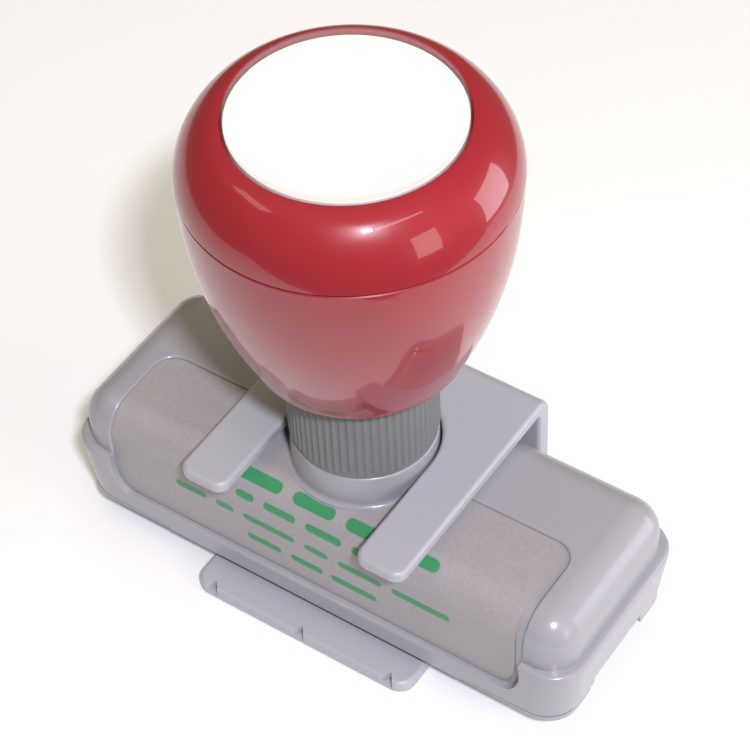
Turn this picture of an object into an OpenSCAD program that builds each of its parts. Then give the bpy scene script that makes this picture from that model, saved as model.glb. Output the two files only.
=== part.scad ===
// Pre-inked stamp: a sprung knob presses an inked die through a moulded housing.
// A U-shaped clip slides on from behind and covers the die when the stamp is put away.
// Millimetres, +Z up. X runs along the length, and the label faces -Y.
// The origin is below the knob's axis, on the surface that the clip's plate stands on.

/* [Base] */
// Length over the skirt
base_l = 74.6; // [66:0.2:90]
// Width over the skirt
base_w = 28; // [25:0.2:33]
// Height of the housing above the skirt's lower edge
housing_h = 17.1; // [16.3:0.2:20.7]
// Radius of the housing's rounded edges
edge_r = 4.5; // [3.5:0.1:5.5]
// Wall of the housing
wall = 1.5; // [1.2:0.1:1.8]
// How far the skirt stands out from the housing
skirt_step = 1.1; // [0.4:0.1:1.4]
// Height of the skirt round the ends and the back
skirt_h = 9.7; // [8.2:0.5:10.7]
// How far the skirt draws in towards its lower edge
skirt_draft = 0.8; // [0:0.1:1]
// How far the skirt's ends draw in towards their lower edge
end_draft = 1.2; // [0.4:0.1:1.4]
// Radius of the skirt's upright corners
skirt_corner_r = 4.8; // [3:0.1:6]
// Radius of the skirt's upper lip
skirt_lip_r = 0.7; // [0.3:0.1:1]
// Width of the relief under each end
relief_w = 11; // [6:0.5:14]
// Height of the relief under each end
relief_h = 2.4; // [1.5:0.1:2.9]

/* [Label] */
// Length of the label's recess
label_l = 60.8; // [50:0.2:63]
// Height of the skirt's strip below the recess
strip_h = 3.3; // [2.7:0.1:6]
// Radius of the recess's upper corners
label_top_r = 3; // [1:0.5:5]
// Radius of the recess's lower corners
label_foot_r = 4.2; // [1.2:0.1:5]
// Depth of the recess
recess_d = 0.45; // [0.4:0.05:0.7]
// Thickness of the film
film_t = 0.3; // [0.15:0.05:0.35]
// Margin between the film and the recess's ends
film_margin = 0.7; // [0.6:0.1:2]
// How far the film is stuck over to the left
film_shift = 0.4; // [0:0.1:0.5]
// Margin between the film and the recess's back
film_back = 0.4; // [0.2:0.1:1.5]
// Gap between the film and the strip or the neck
film_gap = 0.2; // [0.1:0.05:0.6]

/* [Bottom frame] */
// Height of the skirt's lower edge above the feet's soles, at its ends
foot_rise = 1; // [0.7:0.1:1.4]
// Parting gap between the feet and the skirt
foot_gap = 0.25; // [0.1:0.05:0.35]
// Thickness of each wedge-shaped foot at its inner end
foot_tip = 0.15; // [0.1:0.05:0.3]
// Length of each foot along the base
foot_l = 15; // [12:0.5:15]
// Length of each foot across the base
foot_w = 8; // [6:0.5:9]
// Height of the frame inside the skirt
frame_h = 3.7; // [2.7:0.2:4.7]
// Wall of the frame
frame_wall = 0.9; // [0.7:0.1:1.2]
// Length of each snap rib
snap_l = 9; // [5:0.5:12]
// Radius of the snap ribs
snap_r = 0.45; // [0.3:0.05:0.6]

/* [Clip] */
// Width of the clip
clip_w = 32.4; // [29:0.2:38]
// Reach of the prongs and the plate in front of the knob's axis
clip_reach = 16.8; // [15.5:0.2:20]
// Thickness of the bottom plate
plate_t = 2; // [1.4:0.1:2.6]
// Thickness of the prongs
prong_t = 1.8; // [1.6:0.1:3.2]
// Thickness of the back wall
clip_back_t = 2.4; // [1.6:0.1:3]
// Gap between the skirt and the back wall
clip_back_gap = 0.5; // [0.3:0.1:1.2]
// Gap between the feet and the plate
clip_gap = 2.1; // [1:0.1:3]
// Gap between the housing and the prongs
prong_gap = 1.1; // [0.3:0.1:1.4]
// Gap between the neck and the slot
slot_gap = 0.25; // [0.15:0.05:0.4]
// Radius of the plate's front corners
plate_corner_r = 2.2; // [1:0.1:5]
// Radius of the prongs' corners
prong_corner_r = 1.7; // [0.8:0.1:2.5]
// Radius of the clip's outer bends
bend_r = 2.2; // [1.5:0.1:4]
// Radius of the clip's rounded edges
clip_round = 0.7; // [0.3:0.05:0.75]
// Distance of the outer notches from the middle one
notch_pitch = 13.3; // [8:0.1:14]
// Width of each notch
notch_w = 1.8; // [1:0.1:2.4]
// Depth of each notch, inwards and downwards
notch_d = 1.3; // [0.8:0.1:1.6]

/* [Neck and ring] */
// Radius of the neck that the clip's fork grips
neck_r = 9.2; // [8.6:0.1:10]
// Height of the neck
neck_h = 4.6; // [4:0.1:6]
// Fillet at the neck's foot
neck_fillet = 0.6; // [0.3:0.1:0.8]
// Radius of the tube that the ring turns on
tube_r = 7.8; // [7.4:0.1:8]
// Wall of the tube
tube_wall = 1.4; // [1.2:0.05:1.5]
// Radius over the ring's ribs
ring_r = 9.3; // [9:0.1:10.4]
// Height of the ring
ring_h = 16.3; // [14:0.1:18]
// Number of ribs
rib_count = 60; // [36:4:72]
// Depth of the ribs
rib_d = 0.28; // [0.15:0.01:0.4]
// Plain band at the ring's foot
ring_band_h = 0.7; // [0.4:0.1:1.5]
// Thickness of the ring's retainer
retainer_ring_t = 0.8; // [0.5:0.1:1.2]
// Opening of the ring's retainer, in degrees
retainer_ring_open = 50; // [30:5:90]

/* [Plunger] */
// Travel of the knob and the die
stroke = 2.5; // [1.5:0.1:3]
// How far the die passes the feet at full travel
die_bite = 0.1; // [0:0.05:0.3]
// Radius of the stem
stem_r = 4; // [3.6:0.1:4.2]
// Wall of the guide bush
bush_wall = 1.4; // [1:0.1:1.5]
// Flange of the guide bush
bush_flange_t = 1; // [0.6:0.1:1.6]
// Diameter of the spring's wire
wire_d = 1; // [0.7:0.05:1.1]
// Number of the spring's turns
spring_turns = 7; // [5:0.5:8]
// Thickness of the washer over the spring
spring_washer_t = 0.8; // [0.5:0.1:1.2]
// Radius of the stem's spigots
spigot_r = 3.1; // [2.8:0.1:3.3]
// Radius of the screws' shanks
screw_r = 1.4; // [1.2:0.1:1.6]
// Radius of the screws' heads
screw_head_r = 2.6; // [2.4:0.1:2.8]
// Height of the screws' heads
screw_head_h = 1.5; // [1:0.1:1.6]
// Length of the screws' shanks
screw_l = 9; // [7:0.5:11]
// Thickness of the washer under the upper screw
screw_washer_t = 0.6; // [0.4:0.1:1]

/* [Die] */
// Thickness of the die in front of its flange
die_face_t = 1.9; // [1.4:0.1:2.4]
// Thickness of the die's flange
die_flange_t = 1; // [0.8:0.1:1.4]
// Width of the die's flange
die_flange_w = 1.2; // [0.8:0.1:1.6]
// Thickness of the ink pad
pad_t = 3; // [2:0.1:3.4]
// Wall of the carrier's tray
tray_wall = 0.8; // [0.6:0.1:1]
// Floor of the carrier above the pad
carrier_t = 2; // [1.8:0.1:2.4]
// Wall of the die's retainer
retainer_wall = 0.7; // [0.5:0.1:0.9]
// Lip of the retainer below the die's flange
retainer_lip_t = 1; // [0.8:0.1:1.2]
// Thickness of the carrier's ribs
carrier_rib_t = 1; // [0.8:0.1:1.4]
// Depth of the lines cut in the die's face
die_line_d = 0.5; // [0.3:0.1:0.8]

/* [Knob] */
// Radius of the knob at its parting line
knob_r = 19.5; // [18:0.1:22]
// How far the bowl is set in below the parting line
parting_step = 0.1; // [0.05:0.05:0.4]
// Height of the bowl, from its rim to the parting line
bowl_h = 26.8; // [24:0.2:30]
// Radius of the bowl's rim
rim_r = 12.9; // [12.2:0.1:14]
// Swell of the bowl's side from a straight cone
bowl_swell = 1.65; // [1:0.05:2.2]
// Rounding of the bowl's rim
rim_round = 0.8; // [0.4:0.1:1]
// Radius of the cap's shoulder
shoulder_r = 9.3; // [8:0.1:10]
// Radius of the cap's crown, between the shoulder and the index disc
crown_r = 3.9; // [3:0.1:5]
// Slope at which the shoulder runs into the crown, in degrees
crown_start = 50; // [45:1:60]
// Wall of the knob
knob_wall = 2; // [1.5:0.1:2.5]
// How far the ring reaches into the knob's mouth
mouth_cover = 1.1; // [0.6:0.1:2]
// Gap between the ring and the knob's mouth
mouth_gap = 0.5; // [0.3:0.05:0.8]
// Radius of the knob's hub
hub_r = 5.9; // [5.4:0.1:6]
// Height of the hub's ledge that the screw clamps
hub_ledge_h = 2.4; // [1.6:0.1:3]
// Length of the stem's upper spigot
spigot_l = 4; // [3:0.5:5]
// Height of the cap's spigot inside the bowl
cap_spigot_h = 3.4; // [2:0.2:5]
// Wall of the cap's spigot
cap_spigot_wall = 1.4; // [1:0.1:2]
// Radius of the index disc
disc_r = 13.6; // [11:0.1:15]
// Thickness of the index disc
disc_t = 0.5; // [0.3:0.1:0.8]
// Thickness of the clear cover
cover_t = 1.5; // [1.1:0.1:2]
// How far the clear cover stands proud
cover_proud = 1; // [0:0.1:1.1]

/* [Fits] */
// Radial clearance of what turns or slides on a shaft
run_gap = 0.05; // [0.03:0.01:0.08]
// Clearance of pieces that snap or press together
snug = 0.1; // [0.05:0.01:0.15]
// Clearance of the carrier inside the housing
slide_gap = 0.3; // [0.2:0.05:0.4]
// Gap at the carrier's upper stop
stop_gap = 0.2; // [0.1:0.05:0.3]

/* [Hidden] */
$fn = 96;
HULL_FN = 32;
PILL_STEPS = 4;
ROUND_STEPS = 8;
LIP_STEPS = 3;
EPS = 0.01;
OVER = 1;

// Levels above the standing surface
feet_z = plate_t + clip_gap;
skirt_z = feet_z;
skirt_top_z = skirt_z + skirt_h;
strip_z = skirt_z + strip_h;
top_z = skirt_z + housing_h;
ceiling_z = top_z - wall;
prong_z = top_z + prong_gap;
clip_top_z = prong_z + prong_t;
shoulder_z = top_z + neck_h;
ring_z = shoulder_z + snug;
ring_top_z = ring_z + ring_h;
rim_z = ring_top_z - mouth_cover;
parting_z = rim_z + bowl_h;
retainer_ring_z = ring_top_z + snug;
tube_top_z = retainer_ring_z + retainer_ring_t + snug + tube_wall / 2;
bush_shelf_z = shoulder_z + tube_wall / 4;
spring_z = bush_shelf_z + bush_flange_t;
hub_z = tube_top_z + tube_wall;
stem_shoulder_z = hub_z - spring_washer_t;
spigot_top_z = stem_shoulder_z + spring_washer_t + spigot_l;
hub_step_z = spigot_top_z + stop_gap;
hub_top_z = hub_step_z + hub_ledge_h;
mouth_top_z = tube_top_z + stroke + stop_gap;
die_z = feet_z + stroke - die_bite;
die_flange_z = die_z + die_face_t;
pad_z = die_flange_z + die_flange_t;
tray_z = pad_z + pad_t + snug;
carrier_z = tray_z + carrier_t;
carrier_top_z = ceiling_z - stop_gap;
screw_web_z = tray_z + screw_head_h + snug;

// Half sizes in plan, from the housing inwards to the die's face
base = [base_l, base_w] / 2;
skirt_foot = base - [end_draft, skirt_draft];
body = base - [skirt_step, skirt_step];
cavity = body - [wall, wall];
frame_out = cavity - [snug, snug];
window = frame_out - [frame_wall, frame_wall];
retainer_out = window - [slide_gap, slide_gap];
tray_out = retainer_out - [retainer_wall + snug, retainer_wall + snug];
pad = tray_out - [tray_wall + snug, tray_wall + snug];
die_face = pad - [die_flange_w, die_flange_w];
guide = cavity - [slide_gap, slide_gap];
cavity_r = edge_r - wall;
inner_r = cavity_r / 3;

// Radii
slot_r = neck_r + slot_gap;
tube_bore_r = tube_r - tube_wall;
bush_bore_r = stem_r + run_gap;
bush_r = bush_bore_r + bush_wall;
bush_flange_r = tube_bore_r - snug;
spring_r = (stem_r + tube_bore_r) / 2;
groove_r = tube_r - tube_wall / 2;
retainer_ring_r = (tube_r + ring_r) / 2;
mouth_r = ring_r + mouth_gap;
seam_r = knob_r - parting_step;
recess_r = disc_r + snug;

// The clip's back wall, and the knob's side as an arc between its rim and its parting line
clip_back_y = base.y + clip_back_gap + clip_back_t;
side = [seam_r - rim_r, bowl_h];
side_r = (pow(norm(side) / 2, 2) + pow(bowl_swell, 2)) / (2 * bowl_swell);
side_out = [side.y, -side.x] / norm(side);
side_centre = [rim_r, rim_z] + side / 2 - (side_r - bowl_swell) * side_out;

// The cap's spigot fits the bowl's inner side at the depth that it reaches
cap_spigot_z = parting_z - cap_spigot_h;
inner_side_r = side_r - knob_wall;
cap_spigot_r = side_centre.x + sqrt(pow(inner_side_r, 2) - pow(cap_spigot_z - side_centre.y, 2)) - snug;

// The cap's shoulder runs into its crown, which is level where it meets the index recess
shoulder_centre = [knob_r - shoulder_r, parting_z];
crown_way = [cos(crown_start), sin(crown_start)];
crown_centre = shoulder_centre + (shoulder_r - crown_r) * crown_way;
crown_z = shoulder_centre.y + shoulder_r * crown_way.y;
cap_top_z = crown_centre.y + crown_r;
disc_z = cap_top_z + cover_proud - cover_t - disc_t;

// The spring's wire, as points along its helix
SPRING_RINGS = 8;
WIRE_SIDES = 6;
spring_low = spring_z + wire_d / 2 + run_gap;
spring_high = stem_shoulder_z - wire_d / 2 - run_gap;
spring_rise = (spring_high - spring_low) / spring_turns;
spring_steps = SPRING_RINGS * spring_turns;
function helix(i) = [
    spring_r * cos(360 * i / SPRING_RINGS),
    spring_r * sin(360 * i / SPRING_RINGS),
    spring_low + spring_rise * i / SPRING_RINGS
];
function helix_out(i) = [cos(360 * i / SPRING_RINGS), sin(360 * i / SPRING_RINGS), 0];
function helix_up(i) = [
    sin(360 * i / SPRING_RINGS) * sin(helix_lead),
    -cos(360 * i / SPRING_RINGS) * sin(helix_lead),
    cos(helix_lead)
];
helix_lead = atan(spring_rise / (2 * PI * spring_r));
spring_gap = min([
    for (i = [0:spring_steps], j = [i + SPRING_RINGS / 2:spring_steps])
        norm(helix(i) - helix(j)) - wire_d
]);
echo(spring_gap = spring_gap);

CLIP_GREY = "#b6b2c0";
HOUSING_GREY = "#aca8b2";
FILM_GREY = "#969088";
RING_GREY = "#7d8082";
KNOB_RED = "#b3243a";
STEEL = "#b8bcc0";
DARK = "#3a3c40";

// Rectangle with round corners, from its half sizes
module rounded(half, r) {
    square([2 * half.x, 2 * (half.y - r)], center = true);
    square([2 * (half.x - r), 2 * half.y], center = true);
    for (x = [-1, 1], y = [-1, 1])
        translate([x * (half.x - r), y * (half.y - r)])
            circle(r);
}

// Upright slab between two levels
module slab(z0, z1) {
    translate([0, 0, z0])
        linear_extrude(z1 - z0)
            children();
}

// Rounded wall between an outer and an inner outline
module band(outer, outer_r, inner, inner_r, z0, z1) {
    slab(z0, z1)
        difference() {
            rounded(outer, outer_r);
            rounded(inner, inner_r);
        }
}

// Round piece between two levels
module disc(r, z0, z1) {
    translate([0, 0, z0])
        cylinder(r = r, h = z1 - z0);
}

// Flat ring between two levels
module tube(r_out, r_in, z0, z1) {
    difference() {
        disc(r_out, z0, z1);
        disc(r_in, z0 - OVER, z1 + OVER);
    }
}

// Post with a domed top, for a hull
module domed_post(r, z0, z1) {
    translate([0, 0, z1 - r])
        rotate_extrude($fn = HULL_FN)
            polygon(concat(
                [[0, z0 - z1 + r], [r, z0 - z1 + r]],
                [for (i = [0:ROUND_STEPS]) r * [cos(90 * i / ROUND_STEPS), sin(90 * i / ROUND_STEPS)]]
            ));
}

// Loaf shape: round upright corners and a round top edge
module loaf(half, r, z0, z1) {
    hull()
        for (x = [-1, 1], y = [-1, 1])
            translate([x * (half.x - r), y * (half.y - r), 0])
                domed_post(r, z0, z1);
}

// Skirt: drawn in at its foot, with a rounded upper lip
module skirt_block() {
    foot_r = skirt_corner_r - skirt_draft;
    hull()
        for (x = [-1, 1], y = [-1, 1])
            translate([x * (base.x - skirt_corner_r), y * (base.y - skirt_corner_r), 0]) {
                translate([x * (skirt_draft - end_draft), 0, skirt_z])
                    cylinder(r = foot_r, h = EPS, $fn = HULL_FN);
                for (i = [0:LIP_STEPS]) {
                    lip_a = 90 * i / LIP_STEPS;
                    translate([0, 0, skirt_top_z - EPS - skirt_lip_r * (1 - sin(lip_a))])
                        cylinder(r = skirt_corner_r - skirt_lip_r * (1 - cos(lip_a)), h = EPS, $fn = HULL_FN);
                }
            }
}

// Wedges under both ends, from a thin inner edge up to their full height at the ends
module foot_wedges(inner_x, low_z, tip, rise) {
    for (side_x = [-1, 1])
        translate([0, base.y + OVER, 0])
            rotate([90, 0, 0])
                linear_extrude(base_w + 2 * OVER)
                    polygon([
                        [side_x * inner_x, low_z],
                        [side_x * base.x, low_z],
                        [side_x * base.x, skirt_z + rise],
                        [side_x * inner_x, skirt_z + tip]
                    ]);
}

// Column over the label's recess, drawn in at its ends, its back and its foot
module label_column(margin, back_margin, foot_margin) {
    half_l = label_l / 2 - margin;
    foot_z = strip_z + foot_margin;
    intersection() {
        translate([0, 0, skirt_z])
            linear_extrude(housing_h + OVER)
                translate([0, -base.y - back_margin])
                    rounded([half_l, base.y], label_top_r);
        translate([0, OVER, 0])
            rotate([90, 0, 0])
                linear_extrude(base_w)
                    translate([0, foot_z + housing_h])
                        rounded([half_l, housing_h], label_foot_r);
    }
}

// Fillet ring round the neck's foot, down to the recess's floor
module neck_foot() {
    foot_r = neck_r + neck_fillet;
    foot_z = top_z - recess_d;
    rotate_extrude()
        difference() {
            translate([neck_r - OVER, foot_z - recess_d])
                square([neck_fillet + OVER, neck_fillet + recess_d]);
            translate([foot_r, foot_z + neck_fillet])
                circle(neck_fillet);
        }
}

module housing() {
    color(HOUSING_GREY)
        difference() {
            union() {
                difference() {
                    union() {
                        loaf(body, edge_r, skirt_z + skirt_h / 2, top_z);
                        skirt_block();
                    }
                    difference() {
                        label_column(0, 0, 0);
                        loaf(body - [recess_d, recess_d], edge_r - recess_d, skirt_z - OVER, top_z - recess_d);
                    }
                }
                disc(neck_r, ceiling_z + wall / 2, shoulder_z);
                neck_foot();
                disc(tube_r, shoulder_z - OVER, tube_top_z);
            }
            loaf(cavity, cavity_r, skirt_z - OVER, ceiling_z);
            disc(bush_r + snug / 2, ceiling_z - OVER, bush_shelf_z + EPS);
            disc(tube_bore_r, bush_shelf_z, tube_top_z + OVER);
            tube(tube_r + OVER, groove_r, retainer_ring_z - snug, retainer_ring_z + retainer_ring_t + snug);
            for (side_x = [-1, 1])
                translate([side_x * base.x - wall - skirt_step, -relief_w / 2, skirt_z - OVER])
                    cube([2 * (wall + skirt_step), relief_w, relief_h + OVER]);
            foot_wedges(base.x - foot_l - foot_gap, skirt_z - OVER, foot_tip + foot_gap, foot_rise);
            snap_ribs(snap_r + snug / 2, snap_l + snug);
        }
}

// Four snap ribs along the frame's long sides
module snap_ribs(r, l) {
    for (x = [-1, 1], y = [-1, 1])
        translate([x * cavity.x / 2 - l / 2, y * frame_out.y, skirt_z + frame_h / 2])
            rotate([0, 90, 0])
                cylinder(r = r, h = l);
}

module label_film() {
    film_in = recess_d - snug / 2;
    film_out = film_in - film_t;
    color(FILM_GREY)
        difference() {
            intersection() {
                translate([-film_shift, 0, 0])
                    label_column(film_margin, film_back, film_gap);
                loaf(body - [film_out, film_out], edge_r - film_out, skirt_z, top_z - film_out);
            }
            loaf(body - [film_in, film_in], edge_r - film_in, skirt_z - OVER, top_z - film_in);
            disc(neck_r + neck_fillet + film_gap, skirt_z, top_z + OVER);
        }
}

module bottom_frame() {
    color(HOUSING_GREY) {
        band(frame_out, cavity_r, window, inner_r, feet_z, skirt_z + frame_h);
        snap_ribs(snap_r, snap_l);
        intersection() {
            band(skirt_foot, skirt_corner_r - skirt_draft, window, inner_r, feet_z, feet_z + foot_rise);
            foot_wedges(base.x - foot_l, feet_z, foot_tip, foot_rise - foot_gap);
            for (x = [-1, 1], y = [-1, 1])
                translate([x * (base.x - foot_l / 2), y * (base.y - foot_w / 2), feet_z])
                    cube([foot_l, foot_w, 2 * foot_rise], center = true);
        }
    }
}

// Post with both of its edges rounded, for a hull
module pill(r, z0, z1) {
    flat_r = r - clip_round;
    rotate_extrude($fn = HULL_FN)
        polygon(concat(
            [[0, z0]],
            [for (i = [0:PILL_STEPS])
                [flat_r, z0 + clip_round] + clip_round * [sin(90 * i / PILL_STEPS), -cos(90 * i / PILL_STEPS)]],
            [for (i = [0:PILL_STEPS])
                [flat_r, z1 - clip_round] + clip_round * [cos(90 * i / PILL_STEPS), sin(90 * i / PILL_STEPS)]],
            [[0, z1]]
        ));
}

// Flat bar of the clip from x0 to x1, with round front corners, running back into the bend
module clip_bar(x0, x1, front_y, corner_r, z0, z1) {
    hull() {
        for (x = [x0 + corner_r, x1 - corner_r])
            translate([x, front_y + corner_r, 0])
                pill(corner_r, z0, z1);
        for (x = [x0 + clip_round, x1 - clip_round])
            translate([x, clip_back_y - bend_r, 0])
                pill(clip_round, z0, z1);
    }
}

// Back wall of the clip between its two outer bends
module clip_back() {
    inner_y = clip_back_y - clip_back_t;
    difference() {
        hull()
            for (z = [bend_r, clip_top_z - bend_r])
                translate([0, clip_back_y - bend_r, z])
                    rotate([0, 90, 0])
                        pill(bend_r, -clip_w / 2, clip_w / 2);
        translate([-clip_w, inner_y - clip_w, plate_t - clip_round])
            cube([2 * clip_w, clip_w, prong_z - plate_t + 2 * clip_round]);
    }
}

// Cutter for the round end of the fork's slot, which rounds the slot's edges
module slot_cutter() {
    edge_x = slot_r + clip_round;
    rotate_extrude()
        difference() {
            translate([0, prong_z - EPS])
                square([edge_x, prong_t + 2 * EPS]);
            for (z = [prong_z + clip_round, clip_top_z - clip_round])
                translate([edge_x, z])
                    circle(clip_round);
            translate([slot_r, prong_z + clip_round])
                square([edge_x, prong_t - 2 * clip_round]);
        }
}

module storage_clip() {
    color(CLIP_GREY)
        difference() {
            union() {
                clip_bar(-clip_w / 2, clip_w / 2, -clip_reach, plate_corner_r, 0, plate_t);
                clip_bar(-clip_w / 2, -slot_r, -clip_reach, prong_corner_r, prong_z, clip_top_z);
                clip_bar(slot_r, clip_w / 2, -clip_reach, prong_corner_r, prong_z, clip_top_z);
                clip_bar(-clip_w / 2, clip_w / 2, 0, clip_round, prong_z, clip_top_z);
                clip_back();
            }
            slot_cutter();
            for (x = [-notch_pitch, 0, notch_pitch])
                translate([x, -clip_reach, 0])
                    slab(plate_t - notch_d, plate_t + OVER)
                        polygon([[-notch_w / 2, -EPS], [notch_w / 2, -EPS], [0, notch_d]]);
        }
}

module guide_bush() {
    color("#d8d4c8")
        difference() {
            union() {
                disc(bush_r, ceiling_z, bush_shelf_z + OVER / 2);
                disc(bush_flange_r, bush_shelf_z, spring_z);
            }
            disc(bush_bore_r, ceiling_z - OVER, spring_z + OVER);
        }
}

// Round outline with fine square ribs
module ribbed_outline() {
    half_pitch = 90 / rib_count;
    polygon([
        for (i = [0:rib_count - 1])
            for (k = [0:3])
                (ring_r - (k < 2 ? 0 : rib_d))
                * [cos(2 * half_pitch * (2 * i + k / 2)), sin(2 * half_pitch * (2 * i + k / 2))]
    ]);
}

module adjusting_ring() {
    color(RING_GREY)
        difference() {
            union() {
                slab(ring_z + ring_band_h, ring_top_z) ribbed_outline();
                disc(ring_r - rib_d, ring_z, ring_top_z - EPS);
            }
            disc(tube_r + run_gap, ring_z - OVER, ring_top_z + OVER);
        }
}

module ring_retainer() {
    color(STEEL)
        difference() {
            tube(retainer_ring_r, groove_r + run_gap, retainer_ring_z, retainer_ring_z + retainer_ring_t);
            slab(retainer_ring_z - OVER, retainer_ring_z + retainer_ring_t + OVER)
                polygon([
                    [0, 0],
                    2 * ring_r * [cos(retainer_ring_open / 2), sin(retainer_ring_open / 2)],
                    2 * ring_r * [cos(retainer_ring_open / 2), -sin(retainer_ring_open / 2)]
                ]);
        }
}

module return_spring() {
    points = [
        for (i = [0:spring_steps])
            for (k = [0:WIRE_SIDES - 1])
                helix(i) + wire_d / 2
                * (cos(360 * k / WIRE_SIDES) * helix_out(i) + sin(360 * k / WIRE_SIDES) * helix_up(i))
    ];
    walls = [
        for (i = [0:spring_steps - 1])
            for (k = [0:WIRE_SIDES - 1])
                let (a = i * WIRE_SIDES + k, b = i * WIRE_SIDES + (k + 1) % WIRE_SIDES)
                    each [[a, b, b + WIRE_SIDES], [a, b + WIRE_SIDES, a + WIRE_SIDES]]
    ];
    last = spring_steps * WIRE_SIDES;
    ends = [
        for (k = [1:WIRE_SIDES - 2])
            each [[0, k + 1, k], [last, last + k, last + k + 1]]
    ];
    color(STEEL)
        polyhedron(points, concat(walls, ends));
}

module spring_washer() {
    color(STEEL)
        tube(bush_flange_r, spigot_r + run_gap, stem_shoulder_z, stem_shoulder_z + spring_washer_t);
}

module handle_stem() {
    color(DARK)
        difference() {
            union() {
                disc(stem_r, carrier_top_z, stem_shoulder_z);
                disc(spigot_r, stem_shoulder_z - OVER, spigot_top_z);
                disc(spigot_r, screw_web_z + carrier_rib_t + stop_gap, carrier_top_z + OVER);
            }
            disc(screw_r + run_gap, spigot_top_z - screw_l - OVER, spigot_top_z + OVER);
            disc(screw_r + run_gap, screw_web_z, screw_web_z + screw_l + OVER);
        }
}

// Half profile of the bowl's outer skin, drawn in by an inset
module bowl_skin(inset, z0, z1) {
    intersection() {
        translate(side_centre)
            circle(side_r - inset, $fn = 4 * $fn);
        translate([0, z0])
            square([knob_r, z1 - z0]);
    }
}

module knob_bowl() {
    floor_z = mouth_top_z + knob_wall;
    color(KNOB_RED)
        difference() {
            rotate_extrude()
                difference() {
                    union() {
                        difference() {
                            bowl_skin(0, rim_z, parting_z);
                            bowl_skin(knob_wall, floor_z, parting_z + OVER);
                            square([mouth_r, mouth_top_z]);
                            translate([rim_r - rim_round, rim_z])
                                square([2 * rim_round, rim_round]);
                        }
                        translate([rim_r - rim_round, rim_z + rim_round])
                            circle(rim_round);
                        translate([0, hub_z])
                            square([hub_r, hub_top_z - hub_z]);
                    }
                    square([spigot_r + run_gap, hub_step_z]);
                    square([screw_r + snug, hub_top_z + OVER]);
                }
        }
}

module knob_cap() {
    inner_r = shoulder_r - knob_wall;
    floor_z = disc_z - knob_wall;
    color(KNOB_RED)
        rotate_extrude()
            difference() {
                union() {
                    intersection() {
                        translate(shoulder_centre)
                            circle(shoulder_r);
                        translate([0, parting_z])
                            square([knob_r, crown_z - parting_z]);
                    }
                    translate(crown_centre)
                        circle(crown_r);
                    translate([0, parting_z])
                        square([crown_centre.x, cap_top_z - parting_z]);
                    translate([cap_spigot_r - cap_spigot_wall, cap_spigot_z])
                        square([cap_spigot_wall, cap_spigot_h + OVER]);
                }
                intersection() {
                    union() {
                        translate(shoulder_centre)
                            circle(inner_r);
                        translate([0, parting_z - OVER])
                            square([shoulder_centre.x, shoulder_r + OVER]);
                    }
                    translate([0, parting_z])
                        square([cap_spigot_r - cap_spigot_wall, floor_z - parting_z]);
                }
                translate([0, disc_z])
                    square([recess_r, shoulder_r]);
            }
}

module index_disc() {
    color("white")
        disc(disc_r, disc_z, disc_z + disc_t);
}

module index_cover() {
    color([0.9, 0.92, 0.94, 0.4])
        disc(disc_r, disc_z + disc_t, disc_z + disc_t + cover_t);
}

module stem_screw() {
    head_z = hub_top_z + screw_washer_t;
    color(STEEL) {
        disc(screw_head_r, head_z, head_z + screw_head_h);
        disc(screw_r, spigot_top_z - screw_l, head_z + EPS);
    }
}

module screw_washer() {
    color(STEEL)
        tube(hub_r - snug, screw_r + snug, hub_top_z, hub_top_z + screw_washer_t);
}

module carrier_screw() {
    color(STEEL) {
        disc(screw_head_r, screw_web_z - screw_head_h, screw_web_z);
        disc(screw_r, screw_web_z - EPS, screw_web_z + screw_l);
    }
}

// Ribs and stops on the carrier's upper side
module carrier_ribs() {
    rib_y = spigot_r + 2 * carrier_rib_t;
    rib_half = tray_out.x - edge_r;
    rib_top_z = (carrier_z + carrier_top_z) / 2;
    for (y = [-1, 1])
        translate([-rib_half, y * rib_y - carrier_rib_t / 2, carrier_z - EPS])
            cube([2 * rib_half, carrier_rib_t, rib_top_z - carrier_z]);
    for (x = [-1, -0.5, 0.5, 1])
        translate([x * rib_half - carrier_rib_t / 2, -rib_y, carrier_z - EPS])
            cube([carrier_rib_t, 2 * rib_y, rib_top_z - carrier_z]);
    for (x = [-1, 1], y = [-1, 1])
        translate([x * rib_half, y * rib_y, 0])
            disc(carrier_rib_t, carrier_z - EPS, carrier_top_z);
}

module die_carrier() {
    boss_r = spigot_r + 2 * carrier_rib_t;
    color(DARK)
        difference() {
            union() {
                slab(tray_z, carrier_z) rounded(guide, cavity_r);
                band(tray_out, inner_r, pad + [snug, snug], inner_r / 2, die_flange_z + snug, tray_z + EPS);
                disc(boss_r, carrier_z - OVER, carrier_top_z);
                carrier_ribs();
            }
            disc(screw_head_r + snug, tray_z - OVER, screw_web_z);
            disc(screw_r + snug, tray_z, carrier_top_z + OVER);
            disc(spigot_r + run_gap, screw_web_z + carrier_rib_t, carrier_top_z + OVER);
        }
}

module ink_pad() {
    color("#1d6b45")
        slab(pad_z, pad_z + pad_t) rounded(pad, inner_r / 2);
}

// Generic ruled lines stand proud on the die's face
module die_lines() {
    line_count = 4;
    line_pitch = 2 * die_face.y / line_count;
    for (i = [0:line_count - 1])
        translate([0, -die_face.y + (i + 0.5) * line_pitch])
            square([1.6 * die_face.x, line_pitch / 2], center = true);
}

module printing_die() {
    color("#8a3b34") {
        slab(die_flange_z, pad_z) rounded(pad, inner_r / 2);
        slab(die_z + die_line_d, die_flange_z + EPS) rounded(die_face, inner_r / 2);
        slab(die_z, die_z + die_line_d + EPS) die_lines();
    }
}

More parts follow.
